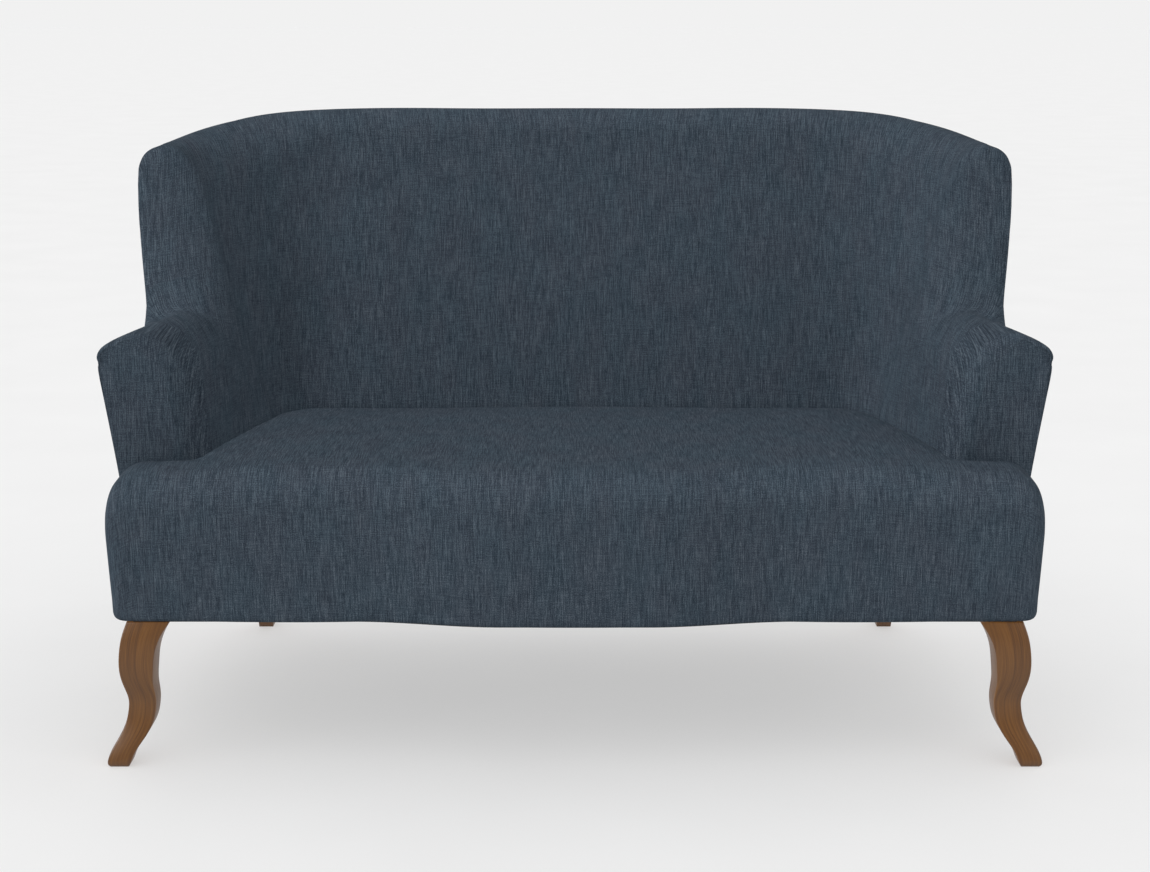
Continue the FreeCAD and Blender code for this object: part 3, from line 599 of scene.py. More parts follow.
def make_oak():
    """Oak in a satin lacquer, its grain following the leg on a map in metres."""
    material, tree, shader = node_material("satin_oak")
    n = Nodes(tree)
    uv = n.add("ShaderNodeUVMap", uv_map="weave").outputs[0]
    wander = n.noise(n.mapping(uv, (30, 5, 1)), 1.0, 2.0)
    grown = n.moved(uv, n.math("MULTIPLY", n.math("SUBTRACT", wander, 0.5), 0.012), 0)
    rings = n.noise(n.mapping(grown, (290, 5, 1), rotation=(0, 0, 0.06)), 1.0, 3.0, 0.65)
    pores = n.noise(n.mapping(grown, (900, 26, 1), (3, 1, 0)), 1.0, 2.0, 0.6)
    tone = n.math("ADD", n.math("MULTIPLY", rings, 0.9), n.math("MULTIPLY", pores, 0.35))
    colour = n.ramp(n.spread(tone, 0.35, 0.92), [(0.0, srgb(66, 37, 10)), (0.45, srgb(96, 60, 21)),
                                                (1.0, srgb(122, 81, 33))])
    dark = n.spread(pores, 0.62, 0.75, 0.0, 0.45)
    colour = n.blend(dark, colour, srgb(62, 36, 15))
    n.link(colour, shader.inputs["Base Color"])
    n.link(n.spread(pores, 0.3, 0.7, 0.34, 0.5), shader.inputs["Roughness"])
    shader.inputs["Coat Weight"].default_value = 0.15
    shader.inputs["Coat Roughness"].default_value = 0.35
    n.link(n.bump(pores, 0.2, 0.0004), shader.inputs["Normal"])
    return material


def plain_finish(name, dark, light, scale, stretch=(1, 1, 1), roughness=0.8, bump=0.2, metal=0.0):
    """A finish in Object coordinates, for pieces that are seldom seen."""
    material, tree, shader = node_material(name)
    n = Nodes(tree)
    place_on = n.add("ShaderNodeTexCoord").outputs["Object"]
    fine = n.noise(n.mapping(place_on, tuple(scale * s for s in stretch)), 1.0, 4.0, 0.6)
    tint = n.ramp(fine, [(0.3, srgb(*dark)), (0.7, srgb(*light))])
    n.link(tint, shader.inputs["Base Color"])
    shader.inputs["Roughness"].default_value = roughness
    shader.inputs["Metallic"].default_value = metal
    n.link(n.bump(fine, bump, 0.0005), shader.inputs["Normal"])
    return material


linen = make_linen()
oak = make_oak()
dust_cloth = plain_finish("black_dust_cloth", (22, 22, 24), (38, 38, 41), 700,
                          roughness=0.95, bump=0.4)
zinc = plain_finish("zinc_plate", (150, 152, 155), (178, 180, 182), 200, roughness=0.4, metal=1.0)
thread = plain_finish("slate_thread", (52, 60, 68), (78, 88, 96), 900)
SLOT_MATERIALS = {
    "upholstery": linen,
    "dust_cloth": dust_cloth,
    "oak": oak,
    "fixings": zinc,
    "frame_timber": plain_finish("sawn_beech", (176, 140, 100), (205, 172, 130), 90, (1, 1, 0.12)),
    "card": plain_finish("panel_board", (150, 130, 105), (172, 152, 125), 60),
    "foam": plain_finish("cream_foam", (214, 205, 176), (228, 220, 195), 300, bump=0.5),
    "webbing": plain_finish("jute_webbing", (140, 112, 74), (180, 150, 105), 420, bump=0.8),
    "hessian": plain_finish("plain_hessian", (150, 124, 86), (184, 156, 112), 500, bump=0.8),
}


def give(piece, slot, *nodes):
    """A finished piece rides on the settee and stands for its nodes, which it hides; its slot is not
    used.
    """
    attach(piece, "root")
    if nodes:
        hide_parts(*nodes)
    return piece


# Inside covers, over the pads
ROWS = (5, 52, 20, 6, 14)
LOW = 400
BACK_ROW = ROWS[0] + 20
RISING_ROWS = ROWS[0] + ROWS[1] + ROWS[2] + ROWS[3]


def wall_stations(first, last, count):
    """Stations spread evenly by length along the wall's outer line."""
    fine = [mix(first, last, k / 2000) for k in range(2001)]
    points = np.array([at(s, rib(half_of(s))[2] + 60, 500) for s in fine])
    run = np.concatenate([[0], np.cumsum(np.linalg.norm(np.diff(points, axis=0), axis=1))])
    return list(np.interp(np.linspace(0, run[-1], count), run, fine))


def both_sides(piece):
    """A right-hand piece and its mirrored copy, each with its side."""
    return (piece, "right"), (mirrored_copy(piece, piece.name.replace("right", "left")), "left")


def inside_grid(stations):
    """The wall's inner sections, one column of points at each station."""
    return np.array([[at(station, reach, height) for reach, height in
                      inner_section(half_of(station), LOW, ROWS)] for station in stations])


def pinch(distance, width, depth):
    """How far a cloth dips beside a seam."""
    share = np.clip(1 - distance / width, 0, 1)
    return depth * share ** 2


# The arm's front edge is softly rounded on its inner side and lips over the facing at the top.
# Each fold has its route, width and height.
EDGE_ROUND = 26
LIP_ROUND = 4
LIP_REACH = 1.5
FOLDS = (
    (((572, 162, 560), (578, 163, 600), (596, 163, 632)), 3.2, -0.9),
    (((572, 170, 545), (580, 171, 594), (600, 171, 636)), 3.2, -0.7),
    (((603, 396, 652), (588, 420, 632), (562, 442, 602)), 5, 2.4),
    (((613, 400, 648), (598, 426, 624), (574, 450, 594)), 6, -3.0),
)


def edge_rounds(rows):
    """The front edge's round at each row of the section, wide inside and tight at the lip."""
    crest = ROWS[0] + ROWS[1] + ROWS[2]
    return np.array([mix(EDGE_ROUND, LIP_ROUND, ease(crest - 9, crest + 4, row))
                     for row in range(rows)])


def arm_stations():
    """An arm's stations, close together at its rounded front."""
    first = (ARM_FRONT - WALL_FRONT) / (PIVOT_Y - WALL_FRONT)
    near = [mix(first, first + 0.13, (k / 34) ** 1.25) for k in range(34)]
    return near + wall_stations(first + 0.13, ARM_SEAM, 62)


def inside_shell():
    """Both arms, the wings and the back as one run of cloth: the arms' and the back's parts."""
    near = arm_stations()
    stations = near + wall_stations(ARM_SEAM, 6 - ARM_SEAM, 270)[1:]
    stations += [6 - station for station in near[::-1]][1:]
    grid = inside_grid(stations)
    rounds = edge_rounds(grid.shape[1]) * MM
    run = lengths(grid, 0)
    run = np.minimum(run, run[-1][None, :] - run)
    out = -normals_of(grid)
    out[:, :, 1] *= (run / (60 * MM)).clip(0, 1)
    out = unit(out)
    turn = np.clip(1 - run / rounds[None, :], 0, 1)
    inset = rounds[None, :] * (1 - np.sqrt(np.maximum(1 - turn ** 2, 0)))
    push = soft_waves(grid, 0.0022, 4.5, 3.0) * (1 - turn) - inset
    up = lengths(grid, 1)
    push -= pinch(up[:, -1][:, None] - up, 0.012, 0.003)
    sided = grid.copy()
    sided[:, :, 0] = np.abs(grid[:, :, 0])
    push += fold_lines(sided, FOLDS)
    lip = np.array([ease(EDGE_ROUND - 6, LIP_ROUND, value / MM) for value in rounds])
    grid = grid + out * push[:, :, None]
    grid[:, :, 1] -= lip[None, :] * LIP_REACH * MM * np.clip(1 - run / 0.03, 0, 1)
    uv = thread_map(grid, stations, BACK_ROW, RISING_ROWS)
    cut = len(near)
    arm = grid_mesh("inside_arm_right", grid[:cut], uv[:cut], linen, flip=True)
    back = grid_mesh("inside_back", grid[cut - 1:1 - cut], uv[cut - 1:1 - cut], linen, flip=True)
    return arm, back


arm, back = inside_shell()
thicken(back, 0.002)
give(back, "upholstery", "inside_back_cover", "back_pad", "wing_pad_left", "wing_pad_right")
thicken(arm, 0.002)
for piece, side in both_sides(arm):
    give(piece, "upholstery", "inside_arm_cover_" + side, "arm_pad_" + side)


# Arm facings
def facing_outline():
    """The facing's edge: in from the section by the front edge's round, and full at the outside."""
    section = np.array(inner_section(0, RAIL_BOTTOM, ROWS))
    way = unit(np.gradient(section, axis=0))
    inward = np.stack([way[:, 1], -way[:, 0]], axis=1)
    rounds = edge_rounds(len(section))
    return section + inward * (rounds - 3)[:, None]


def resample(points, count):
    """Points spread evenly by length along a line."""
    points = np.array(points, dtype=float)
    run = np.concatenate([[0], np.cumsum(np.linalg.norm(np.diff(points, axis=0), axis=1))])
    targets = np.linspace(0, run[-1], count)
    return np.stack([np.interp(targets, run, points[:, k]) for k in (0, 1)], axis=1)


def facing():
    """The arm's front panel, from its four edges."""
    outline = facing_outline()
    shoulder = ROWS[0] + ROWS[1]
    count_side = 48
    count_top = 40
    left = resample(outline[:shoulder + 1], count_side)
    top = resample(outline[shoulder:], count_top)
    heights = [mix(RAIL_BOTTOM, outline[-1][1], k / 30) for k in range(30)]
    right = resample([(outer_face(0, z), z) for z in heights] + [tuple(outline[-1])], count_side)
    bottom = resample([tuple(left[0]), tuple(right[0])], count_top)
    grid = np.empty((count_top, count_side, 3))
    uv = np.empty((count_top, count_side, 2))
    for i in range(count_top):
        s = i / (count_top - 1)
        for j in range(count_side):
            t = j / (count_side - 1)
            ruled = (1 - t) * bottom[i] + t * top[i] + (1 - s) * left[j] + s * right[j]
            ruled -= ((1 - s) * (1 - t) * bottom[0] + s * (1 - t) * bottom[-1]
                      + (1 - s) * t * top[0] + s * t * top[-1])
            dome = 1.2 * (1 - math.exp(-min((1 - s) * 100, (1 - t) * 250) / 10))
            shoulder_dip = 3.5 * ease(0.45, 0.9, s) * ease(0.82, 1.0, t)
            depth = ARM_FRONT + 0.4 - dome + shoulder_dip
            grid[i, j] = place(PIVOT_X + ruled[0], depth, ruled[1])
            uv[i, j] = (ruled[0] * MM + 0.31, ruled[1] * MM)
    return grid_mesh("arm_facing_cover_right", grid, uv, linen, flip=False)


front = facing()
thicken(front, 0.002)
for piece, side in both_sides(front):
    give(piece, "upholstery", "arm_facing_" + side)


# Outside covers
def outside_grid(stations, rows):
    """The wall's outer face from its foot to the seam."""
    grid = []
    for station in stations:
        half = half_of(station)
        seam = face_arc(half)[2][1]
        heights = [mix(RAIL_BOTTOM, seam, row / rows) for row in range(rows + 1)]
        grid.append([at(station, outer_face(half, height), height) for height in heights])
    return np.array(grid)


def fullness(half):
    """How far the outside covers stand off the boards, in millimetres."""
    return mix(1.5, 5.5, ease(0.15, 0.8, half))


def outside_panel(name, first, last, count, seed):
    stations = wall_stations(first, last, count)
    grid = outside_grid(stations, 60)
    uv = cloth_map(grid, 10)
    out = normals_of(grid)
    middle = grid[:, :, :2].mean(axis=(0, 1))
    if np.sum(out[:, :, :2].mean(axis=(0, 1)) * middle) < 0:
        out = -out
    push = soft_waves(grid, 0.0012, 5.0, seed)
    up = lengths(grid, 1)
    to_seam = up[:, -1][:, None] - up
    full = np.array([fullness(half_of(station)) for station in stations]) * MM
    push += full[:, None] * (1 - np.clip(1 - to_seam / 0.03, 0, 1) ** 2)
    push -= pinch(to_seam, 0.01, 0.002)
    along = lengths(grid, 0)
    push -= pinch(along, 0.009, 0.0012) + pinch(along[-1][None, :] - along, 0.009, 0.0012)
    grid = grid + out * push[:, :, None]
    return grid_mesh(name, grid, uv, linen, flip=False)


outside_back = outside_panel("outside_back", BACK_SEAM, 6 - BACK_SEAM, 170, 5.0)
thicken(outside_back, 0.0015)
arm_edge = (ARM_FRONT + 0.6 - WALL_FRONT) / (PIVOT_Y - WALL_FRONT)
outside_arm = outside_panel("outside_arm_right", arm_edge, BACK_SEAM, 80, 9.0)
thicken(outside_arm, 0.0015)
give(outside_back, "upholstery", "outside_back_cover", "outside_back_board")
for piece, side in both_sides(outside_arm):
    give(piece, "upholstery", "outside_arm_cover_" + side, "outside_arm_board_" + side)


# Seat, one cover from the back, over the nose and down to the bottom of the front rail
SEAT_REAR = BACK_FACE + 20
NOSE_DIP = 4
FRONT_DRAW = 5
HEM_ROUND = 9
UNDER_TURN = 40
END_FALL = 10
END_REAR = 178


def front_line(x):
    """Depth of the seat's bowed front."""
    return NOSE_INSET - NOSE_BOW * (1 - ease(110, 330, abs(x)))


def seat_half_at(depth):
    """Half the seat's width between the arms."""
    if depth <= PIVOT_Y:
        share = (depth - WALL_FRONT) / (PIVOT_Y - WALL_FRONT)
        return mix(INNER_FRONT, INNER_REAR, share)
    share = min((depth - PIVOT_Y) / CORNER_BACK, 1.0)
    return PIVOT_X + CORNER_SIDE * (1 - share ** INNER_CORNER_POWER) ** (1 / INNER_CORNER_POWER)


def seat_column(x, drop, draw, rows, last_depth=0):
    """Section of the seat at one width, from the back to the bottom of the front."""
    front = front_line(x) + draw
    top = SEAT_CROWN - drop
    points = []
    start = (front + NOSE_ROLL, top - NOSE_DIP)
    crown = (BACK_FACE * 0.45, top + 1)
    end = (SEAT_REAR, top - (SEAT_CROWN - SEAT_LINE) - 3)
    for row in range(rows[0]):
        share = row / rows[0]
        depth = mix(end[0], start[0], share)
        a = (depth - start[0]) / (crown[0] - start[0])
        b = (depth - crown[0]) / (end[0] - crown[0])
        if depth < crown[0]:
            height = mix(start[1], crown[1], 1 - (1 - a) ** 2)
        else:
            height = mix(crown[1], end[1], b * b)
        points.append((depth, height))
    for row in range(rows[1]):
        turn = math.radians(90 * row / rows[1])
        points.append((start[0] - NOSE_ROLL * math.sin(turn),
                       start[1] - NOSE_ROLL * (1 - math.cos(turn))))
    low_start = start[1] - NOSE_ROLL
    for row in range(rows[2]):
        share = row / rows[2]
        points.append((front + FRONT_DRAW * share ** 3,
                       mix(low_start, RAIL_BOTTOM + HEM_ROUND, share)))
    for row in range(rows[3] + 1):
        turn = math.radians(90 * row / rows[3])
        points.append((front + FRONT_DRAW + HEM_ROUND * (1 - math.cos(turn)),
                       RAIL_BOTTOM + HEM_ROUND * (1 - math.sin(turn))))
    points.append((max(front + UNDER_TURN, last_depth), RAIL_BOTTOM))
    return points


def seat_cover():
    """Columns from end to end of the seat, with closed ends, drawn down beside arms and back."""
    rows = (70, 20, 26, 5)
    flat_half = SEAT_HALF - NOSE_ROLL
    spread = list(np.linspace(0, flat_half, 96))
    turns = [math.radians(90 * k / 18) for k in range(1, 19)]
    columns = []
    for x in spread:
        columns.append((x, END_FALL * ease(400, 640, x), 0.0))
    for turn in turns:
        x = flat_half + NOSE_ROLL * math.sin(turn)
        corner = SEAT_HALF - SEAT_CORNER
        draw_turn = max((x - corner) / SEAT_CORNER, 0.0)
        draw = SEAT_CORNER * (1 - math.sqrt(max(1 - draw_turn ** 2, 0.0)))
        fall = END_FALL * ease(400, 640, x) + NOSE_ROLL * (1 - math.cos(turn))
        columns.append((x, fall, draw))
    half = []
    for x, drop, draw in columns:
        under = END_REAR * ease(BASE_HALF - 90, BASE_HALF - 30, x)
        half.append([place(x, depth, height)
                     for depth, height in seat_column(x, drop, draw, rows, under)])
    half = np.array(half)
    last = half[-1]
    centre = np.array(place(SEAT_HALF, END_REAR, 310))
    rings = []
    for share in (0.9, 0.75, 0.55, 0.3, 0.08):
        ring = centre + (last - centre) * share
        ring[:, 0] = SEAT_HALF * MM
        rings.append(ring)
    half = np.concatenate([half, np.array(rings)], axis=0)
    low_turn = np.clip((234 - half[:, :, 2] / MM) / 16, 0, 1)
    near_side = np.clip((np.abs(half[:, :, 0]) / MM - 600) / 90, 0, 1)
    taper = 5 * np.clip((385 - half[:, :, 2] / MM) / 130, 0, 1)
    half[:, :, 0] -= (12 * (1 - np.sqrt(1 - low_turn ** 2)) + taper) * MM * near_side
    depth = half[:, :, 1] / MM + MIDDLE
    arm_face = np.vectorize(seat_half_at)(np.maximum(depth, WALL_FRONT))
    arm_near = arm_face - np.abs(half[:, :, 0]) / MM
    back_near = BACK_FACE - depth
    top_face = half[:, :, 2] > 400 * MM
    tuck = 9 * np.exp(-np.maximum(arm_near, 0) / 12) * (depth > WALL_FRONT - 30)
    tuck = np.maximum(tuck, 7 * np.exp(-np.maximum(back_near, 0) / 10))
    half[:, :, 2] -= np.where(top_face, tuck * MM, 0)
    other = half[::-1].copy()
    other[:, :, 0] *= -1
    grid = np.concatenate([other, half[1:]], axis=0)
    across = lengths(grid, 0)[:, 40]
    across -= across[len(across) // 2]
    up = -lengths(grid, 1)
    up = up - up[:, 90][:, None]
    uv = np.stack([np.repeat(across[:, None], grid.shape[1], axis=1), up], axis=2)
    out = normals_of(grid)
    if out[len(out) // 2, 40, 2] < 0:
        out = -out
    push = soft_waves(grid, 0.003, 3.5, 1.0)
    grid = grid + out * push[:, :, None]
    behind = grid[:, :, 1] / MM + MIDDLE - 112
    end_x = (SEAT_HALF - 18 * np.clip(behind / 40, 0, 1) ** 2) * MM
    grid[:, :, 0] = np.clip(grid[:, :, 0], -end_x, end_x)
    thing = grid_mesh("seat_top", grid, uv, linen, flip=False)
    trim_inside_arms(thing)
    return thing


def trim_inside_arms(thing):
    """The seat stops just inside the arms and the back."""
    work = bmesh.new()
    work.from_mesh(thing.data)
    gone = []
    for face in work.faces:
        centre = face.calc_center_median()
        depth = centre.y / MM + MIDDLE
        x = abs(centre.x) / MM
        if depth > ARM_FRONT + 22 and (depth > BACK_FACE + 18 or x > seat_half_at(depth) + 22):
            gone.append(face)
    bmesh.ops.delete(work, geom=gone, context="FACES")
    work.to_mesh(thing.data)
    work.free()


seat = seat_cover()
give(seat, "upholstery", "seat_cover", "seat_pad")


# Dust cover under the frame, held by staples
DUST_EDGE = 16


def dust_outline(edge):
    """The dust cover's edge, in millimetres, in from the foot of the covers."""
    half = [(x, front_line(x) + edge) for x in np.linspace(0, BASE_HALF - edge, 40)]
    half += [(BASE_HALF - edge, depth)
             for depth in np.linspace(front_line(500) + edge + 20, PIVOT_Y, 16)]
    for turn in np.linspace(1.05, 2, 16):
        foot, angle, _, outer = rib(turn)
        reach = outer - edge
        half.append((foot[0] + reach * math.cos(angle), foot[1] + reach * math.sin(angle)))
    half += [(x, BACK_BASE - edge) for x in np.linspace(PIVOT_X - 20, 0, 16)]
    return half + [(-x, depth) for x, depth in half[::-1][1:-1]]


def dust_cover():
    outline = dust_outline(DUST_EDGE)
    work = bmesh.new()
    ring = [work.verts.new(place(x, depth, LEG_HEIGHT)) for x, depth in outline]
    work.faces.new(ring)
    bmesh.ops.recalc_face_normals(work, faces=work.faces)
    bmesh.ops.triangulate(work, faces=work.faces)
    mesh = bpy.data.meshes.new("dust_cover_cloth")
    work.to_mesh(mesh)
    work.free()
    mesh.materials.append(dust_cloth)
    thing = bpy.data.objects.new("dust_cover_cloth", mesh)
    bpy.context.scene.collection.objects.link(thing)
    if mesh.polygons[0].normal.z > 0:
        mesh.flip_normals()
    thicken(thing, 0.0008)
    return thing


def fixing_tree(name, size, material):
    """Geometry Nodes that set a small fixing at each pitch along an edge, a little turned."""
    tree = bpy.data.node_groups.new(name, "GeometryNodeTree")
    face = tree.interface
    face.new_socket("Geometry", in_out="INPUT", socket_type="NodeSocketGeometry")
    inputs = [face.new_socket(label, in_out="INPUT", socket_type=kind).identifier
              for label, kind in (("Pitch", "NodeSocketFloat"), ("Turn", "NodeSocketFloat"),
                                  ("Seed", "NodeSocketInt"))]
    face.new_socket("Geometry", in_out="OUTPUT", socket_type="NodeSocketGeometry")
    n = Nodes(tree)
    start = n.add("NodeGroupInput").outputs
    end = n.add("NodeGroupOutput")
    curve = n.add("GeometryNodeMeshToCurve")
    spaced = n.add("GeometryNodeCurveToPoints", mode="LENGTH")
    block = n.add("GeometryNodeMeshCube")
    block.inputs["Size"].default_value = size
    sway = n.add("FunctionNodeRandomValue", data_type="FLOAT")
    limits = {socket.name: socket for socket in sway.inputs if socket.type == "VALUE"}
    swayed = [socket for socket in sway.outputs if socket.type == "VALUE"][0]
    align = n.add("FunctionNodeAlignRotationToVector", axis="X")
    upright = n.add("FunctionNodeAxisAngleToRotation")
    upright.inputs["Axis"].default_value = (0, 0, 1)
    spin = n.add("FunctionNodeRotateRotation", rotation_space="LOCAL")
    copies = n.add("GeometryNodeInstanceOnPoints")
    real = n.add("GeometryNodeRealizeInstances")
    finish = n.add("GeometryNodeSetMaterial")
    finish.inputs["Material"].default_value = material
    for source, target in (
            (start["Geometry"], curve.inputs["Mesh"]),
            (curve.outputs["Curve"], spaced.inputs["Curve"]),
            (start["Pitch"], spaced.inputs["Length"]),
            (spaced.outputs["Points"], copies.inputs["Points"]),
            (spaced.outputs["Tangent"], align.inputs["Vector"]),
            (n.math("MULTIPLY", start["Turn"], -1.0), limits["Min"]),
            (start["Turn"], limits["Max"]),
            (start["Seed"], sway.inputs["Seed"]),
            (swayed, upright.inputs["Angle"]),
            (align.outputs["Rotation"], spin.inputs["Rotation"]),
            (upright.outputs["Rotation"], spin.inputs["Rotate By"]),
            (spin.outputs["Rotation"], copies.inputs["Rotation"]),
            (block.outputs["Mesh"], copies.inputs["Instance"]),
            (copies.outputs["Instances"], real.inputs["Geometry"]),
            (real.outputs["Geometry"], finish.inputs["Geometry"]),
            (finish.outputs["Geometry"], end.inputs["Geometry"])):
        n.link(source, target)
    return tree, inputs


def fixings_along(name, points, tree_parts, settings, closed=False):
    """A row of small fixings along points, made real: settings are its pitch, turn and seed."""
    mesh = bpy.data.meshes.new(name)
    edges = [(k, k + 1) for k in range(len(points) - 1)]
    if closed:
        edges.append((len(points) - 1, 0))
    mesh.from_pydata([tuple(p) for p in points], edges, [])
    thing = bpy.data.objects.new(name, mesh)
    bpy.context.scene.collection.objects.link(thing)
    tree, inputs = tree_parts
    rows = thing.modifiers.new("row", "NODES")
    rows.node_group = tree
    for key, value in zip(inputs, settings):
        rows[key] = value
    apply_modifiers(thing)
    return thing


def seam_points():
    """The lines of the outside covers' seams: along the top, and up both of the back's sides."""
    top = []
    for station in wall_stations(0.02, 5.98, 260):
        reach, height = face_arc(half_of(station))[2]
        top.append(at(station, reach - 1.6, height + 0.5))
    uprights = []
    seam = face_arc(BACK_SEAM)[2][1]
    for station in (BACK_SEAM, 6 - BACK_SEAM):
        uprights.append([at(station, outer_face(BACK_SEAM, z) + fullness(BACK_SEAM) - 1.4, z)
                         for z in np.linspace(RAIL_BOTTOM + 6, seam - 34, 60)])
    return [top] + uprights


stitch_tree = fixing_tree("blind_stitches", (0.005, 0.0011, 0.0011), thread)
for name, row in zip(("top_seam", "back_seam_right", "back_seam_left"), seam_points()):
    stitches = fixings_along(name + "_stitches", row, stitch_tree, (0.009, 0.35, 3))
    give(stitches, "upholstery")
dust = dust_cover()
give(dust, "dust_cloth", "dust_cover")
staple_row = [place(x, depth, LEG_HEIGHT - 0.35) for x, depth in dust_outline(DUST_EDGE + 5)]
staple_tree = fixing_tree("staples", (0.010, 0.0012, 0.0007), zinc)
staples = fixings_along("dust_cover_staples", staple_row, staple_tree, (0.042, 0.25, 7), True)
give(staples, "fixings")


# Legs
def interpolate(points, count):
    """A smooth run through given points, by a natural spline of each value."""
    points = np.array(points, dtype=float)
    run = np.concatenate([[0], np.cumsum(np.linalg.norm(np.diff(points, axis=0), axis=1))])
    size = len(points)
    steps = np.diff(run)
    matrix = np.eye(size)
    right = np.zeros((size, points.shape[1]))
    slopes = np.diff(points, axis=0) / steps[:, None]
    for k in range(1, size - 1):
        matrix[k, k - 1] = steps[k - 1]
        matrix[k, k] = 2 * (steps[k - 1] + steps[k])
        matrix[k, k + 1] = steps[k]
        right[k] = 6 * (slopes[k] - slopes[k - 1])
    bends = np.linalg.solve(matrix, right)
    out = []
    for target in np.linspace(0, run[-1], count):
        k = min(np.searchsorted(run, target, side="right") - 1, size - 2)
        h = steps[k]
        a = (run[k + 1] - target) / h
        b = 1 - a
        out.append(a * points[k] + b * points[k + 1]
                   + ((a ** 3 - a) * bends[k] + (b ** 3 - b) * bends[k + 1]) * h * h / 6)
    return np.array(out)


CORNER_STEPS = 3


def square_ring(width, ease_off):
    """Corners of a square section with small rounds, from its outer front corner."""
    ring = []
    for cx, cy, start in ((ease_off, ease_off, 180), (width - ease_off, ease_off, 270),
                          (width - ease_off, width - ease_off, 0), (ease_off, width - ease_off, 90)):
        for k in range(CORNER_STEPS + 1):
            turn = math.radians(start + 90 * k / CORNER_STEPS)
            ring.append((cx + ease_off * math.cos(turn), cy + ease_off * math.sin(turn)))
    return ring


def leg_mesh(name, sections, ease_off):
    """Sections are (x of the outer edge, depth of the front edge, height, width)."""
    points = []
    uvs = []
    ring_size = 4 * (CORNER_STEPS + 1)
    run = 0.0
    before = None
    for x, depth, height, width in sections:
        ring = square_ring(width, ease_off * min(1, width / 40))
        here = np.array((x, depth, height))
        if before is not None:
            run += float(np.linalg.norm(here - before))
        before = here
        around = 0.0
        for k, (across, along) in enumerate(ring):
            points.append(place(x - across, depth + along, height))
            if k:
                around += math.hypot(across - ring[k - 1][0], along - ring[k - 1][1])
            uvs.append((around * MM, run * MM))
    faces = []
    for k in range(len(sections) - 1):
        for m in range(ring_size):
            a = k * ring_size + m
            b = k * ring_size + (m + 1) % ring_size
            faces.append((a, b, b + ring_size, a + ring_size))
    faces.append(tuple(range(ring_size))[::-1])
    faces.append(tuple(range((len(sections) - 1) * ring_size, len(sections) * ring_size)))
    thing = smooth_mesh(name, points, faces, uvs, oak)
    work = bmesh.new()
    work.from_mesh(thing.data)
    bmesh.ops.recalc_face_normals(work, faces=work.faces)
    work.to_mesh(thing.data)
    work.free()
    return thing


FRONT_LEG_X = 671.4
FRONT_LEG_DEPTH = 36.6
REAR_LEG_X = 559.1
REAR_LEG_DEPTH = 629.1
REAR_LEG_TOP = 48
REAR_LEG_FOOT = 26
REAR_LEG_RAKE = 84
REAR_LEG_SPLAY = 10


def cabriole_leg():
    """A front leg, from its turns: share of the height, how far it swings out, and its width."""
    knee, kick, top, broad, slim, tip = 12, 31, 65, 51, 41, 36
    turns = [
        (0.0, kick - 3, 0.78 * tip), (0.02, kick, 0.93 * tip), (0.07, 0.95 * kick, tip),
        (0.17, 0.6 * kick, mix(slim, tip, 0.4)), (0.28, 0.22 * kick, slim),
        (0.37, 0.22 * knee, slim), (0.43, 0.15 * knee, slim),
        (0.55, 0.62 * knee, mix(broad, slim, 0.6)), (0.67, knee, broad),
        (0.78, 0.95 * knee, mix(broad, top, 0.15)), (0.90, 0.6 * knee, mix(broad, top, 0.5)),
        (1.0, 0, top)]
    line = interpolate([(out, width, share * LEG_HEIGHT) for share, out, width in turns], 90)
    sections = [(FRONT_LEG_X + out, FRONT_LEG_DEPTH - out, max(height, 0.0), width)
                for out, width, height in line]
    return leg_mesh("front_leg_oak_right", sections, 2.2)


def rear_leg():
    """A rear leg, tapered and raked back."""
    sections = []
    for k in range(25):
        share = k / 24
        width = mix(REAR_LEG_FOOT, REAR_LEG_TOP, share)
        x = REAR_LEG_X + width / 2 + REAR_LEG_SPLAY * (1 - share)
        depth = REAR_LEG_DEPTH - width / 2 + REAR_LEG_RAKE * (1 - share)
        sections.append((x, depth, share * LEG_HEIGHT, width))
    return leg_mesh("rear_leg_oak_right", sections, 1.8)


for make, node in ((cabriole_leg, "front_leg"), (rear_leg, "rear_leg")):
    for piece, side in both_sides(make()):
        give(piece, "oak", node + "_" + side)


# Finishes of the pieces that the frame carries over
slots = {part["node"]: part["material_slot"] for part in frame["record"]["subparts"]}
for node in frame["nodes"]:
    thing = bpy.data.objects.get(node)
    if thing is None:
        continue
    for index in range(len(thing.material_slots)):
        thing.material_slots[index].material = SLOT_MATERIALS[slots[node]]


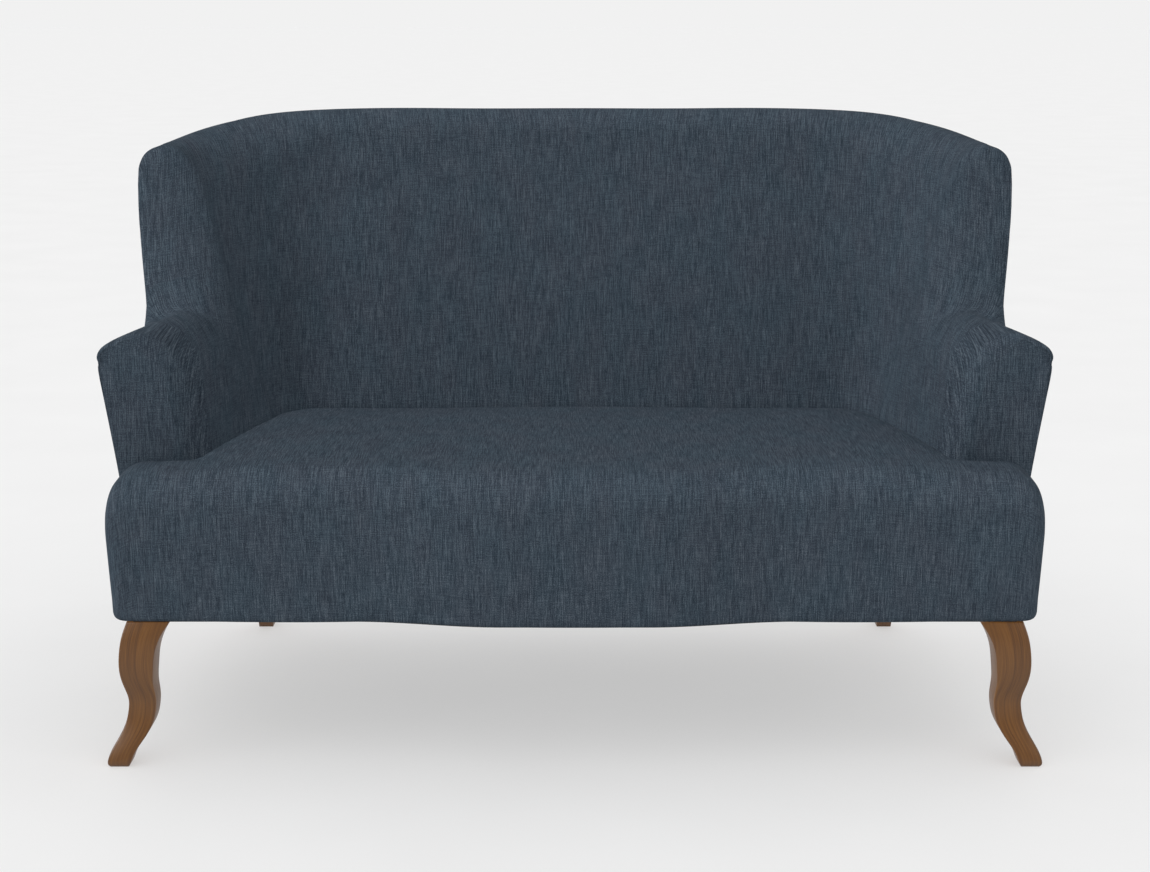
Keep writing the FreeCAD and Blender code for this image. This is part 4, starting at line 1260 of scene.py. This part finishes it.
# Studio: a wide pale floor under a pale sky
SKY_LIGHT = (0.34, 0.34, 0.34, 1)
BACKDROP = srgb(241, 241, 241)
CONTACT_SHADE = srgb(120, 120, 120)
FLOOR_GLOW = 0.06


def make_studio():
    grid = [[(x, y, 0.0) for y in (-9, 0, 9, 30, 90)] for x in np.linspace(-60, 60, 5)]
    material, tree, shader = node_material("pale_floor")
    n = Nodes(tree)
    fine = n.noise(n.mapping(n.add("ShaderNodeTexCoord").outputs["Object"], (3, 3, 3)), 1.0, 2.0)
    tint = n.ramp(fine, [(0.3, srgb(237, 237, 237)), (0.7, srgb(239, 239, 239))])
    # Painted shadow: where ambient occlusion finds the settee close, the floor's colour is darkened
    # towards CONTACT_SHADE.
    near = n.add("ShaderNodeAmbientOcclusion", samples=8)
    near.inputs["Distance"].default_value = 0.8
    share = n.spread(near.outputs["AO"], 0.0, 1.0, 0.29, 0.0)
    tint = n.blend(share, tint, CONTACT_SHADE)
    n.link(tint, shader.inputs["Base Color"])
    shader.inputs["Roughness"].default_value = 0.9
    shader.inputs["Specular IOR Level"].default_value = 0.1
    n.link(tint, shader.inputs["Emission Color"])
    seen = n.add("ShaderNodeLightPath").outputs["Is Camera Ray"]
    n.link(n.math("MULTIPLY", seen, FLOOR_GLOW), shader.inputs["Emission Strength"])
    floor = grid_mesh("studio_floor", grid, np.zeros((5, 5, 2)), material)
    world = bpy.data.worlds.new("studio_world")
    bpy.context.scene.world = world
    world.use_nodes = True
    background = world.node_tree.nodes["Background"]
    w = Nodes(world.node_tree)
    sees = w.add("ShaderNodeLightPath").outputs["Is Camera Ray"]
    w.link(w.blend(sees, SKY_LIGHT, BACKDROP), background.inputs["Color"])
    # Wide soft lights that leave no shadow edges on the cloth: each with its strength and its way
    lamps = (("key", 2.6, (0.745, 0.323, -0.588)), ("fill", 1.2, (-0.82, 0.36, -0.44)))
    for name, strength, way in lamps:
        data = bpy.data.lights.new(name, "SUN")
        data.energy = strength
        data.angle = math.radians(30)
        data.use_shadow = False
        lamp = bpy.data.objects.new(name, data)
        lamp.rotation_euler = Vector(way).to_track_quat("-Z", "Y").to_euler()
        lamp.location = [-5 * part for part in way]
        bpy.context.scene.collection.objects.link(lamp)


make_studio()
bpy.context.scene.view_settings.view_transform = "Standard"
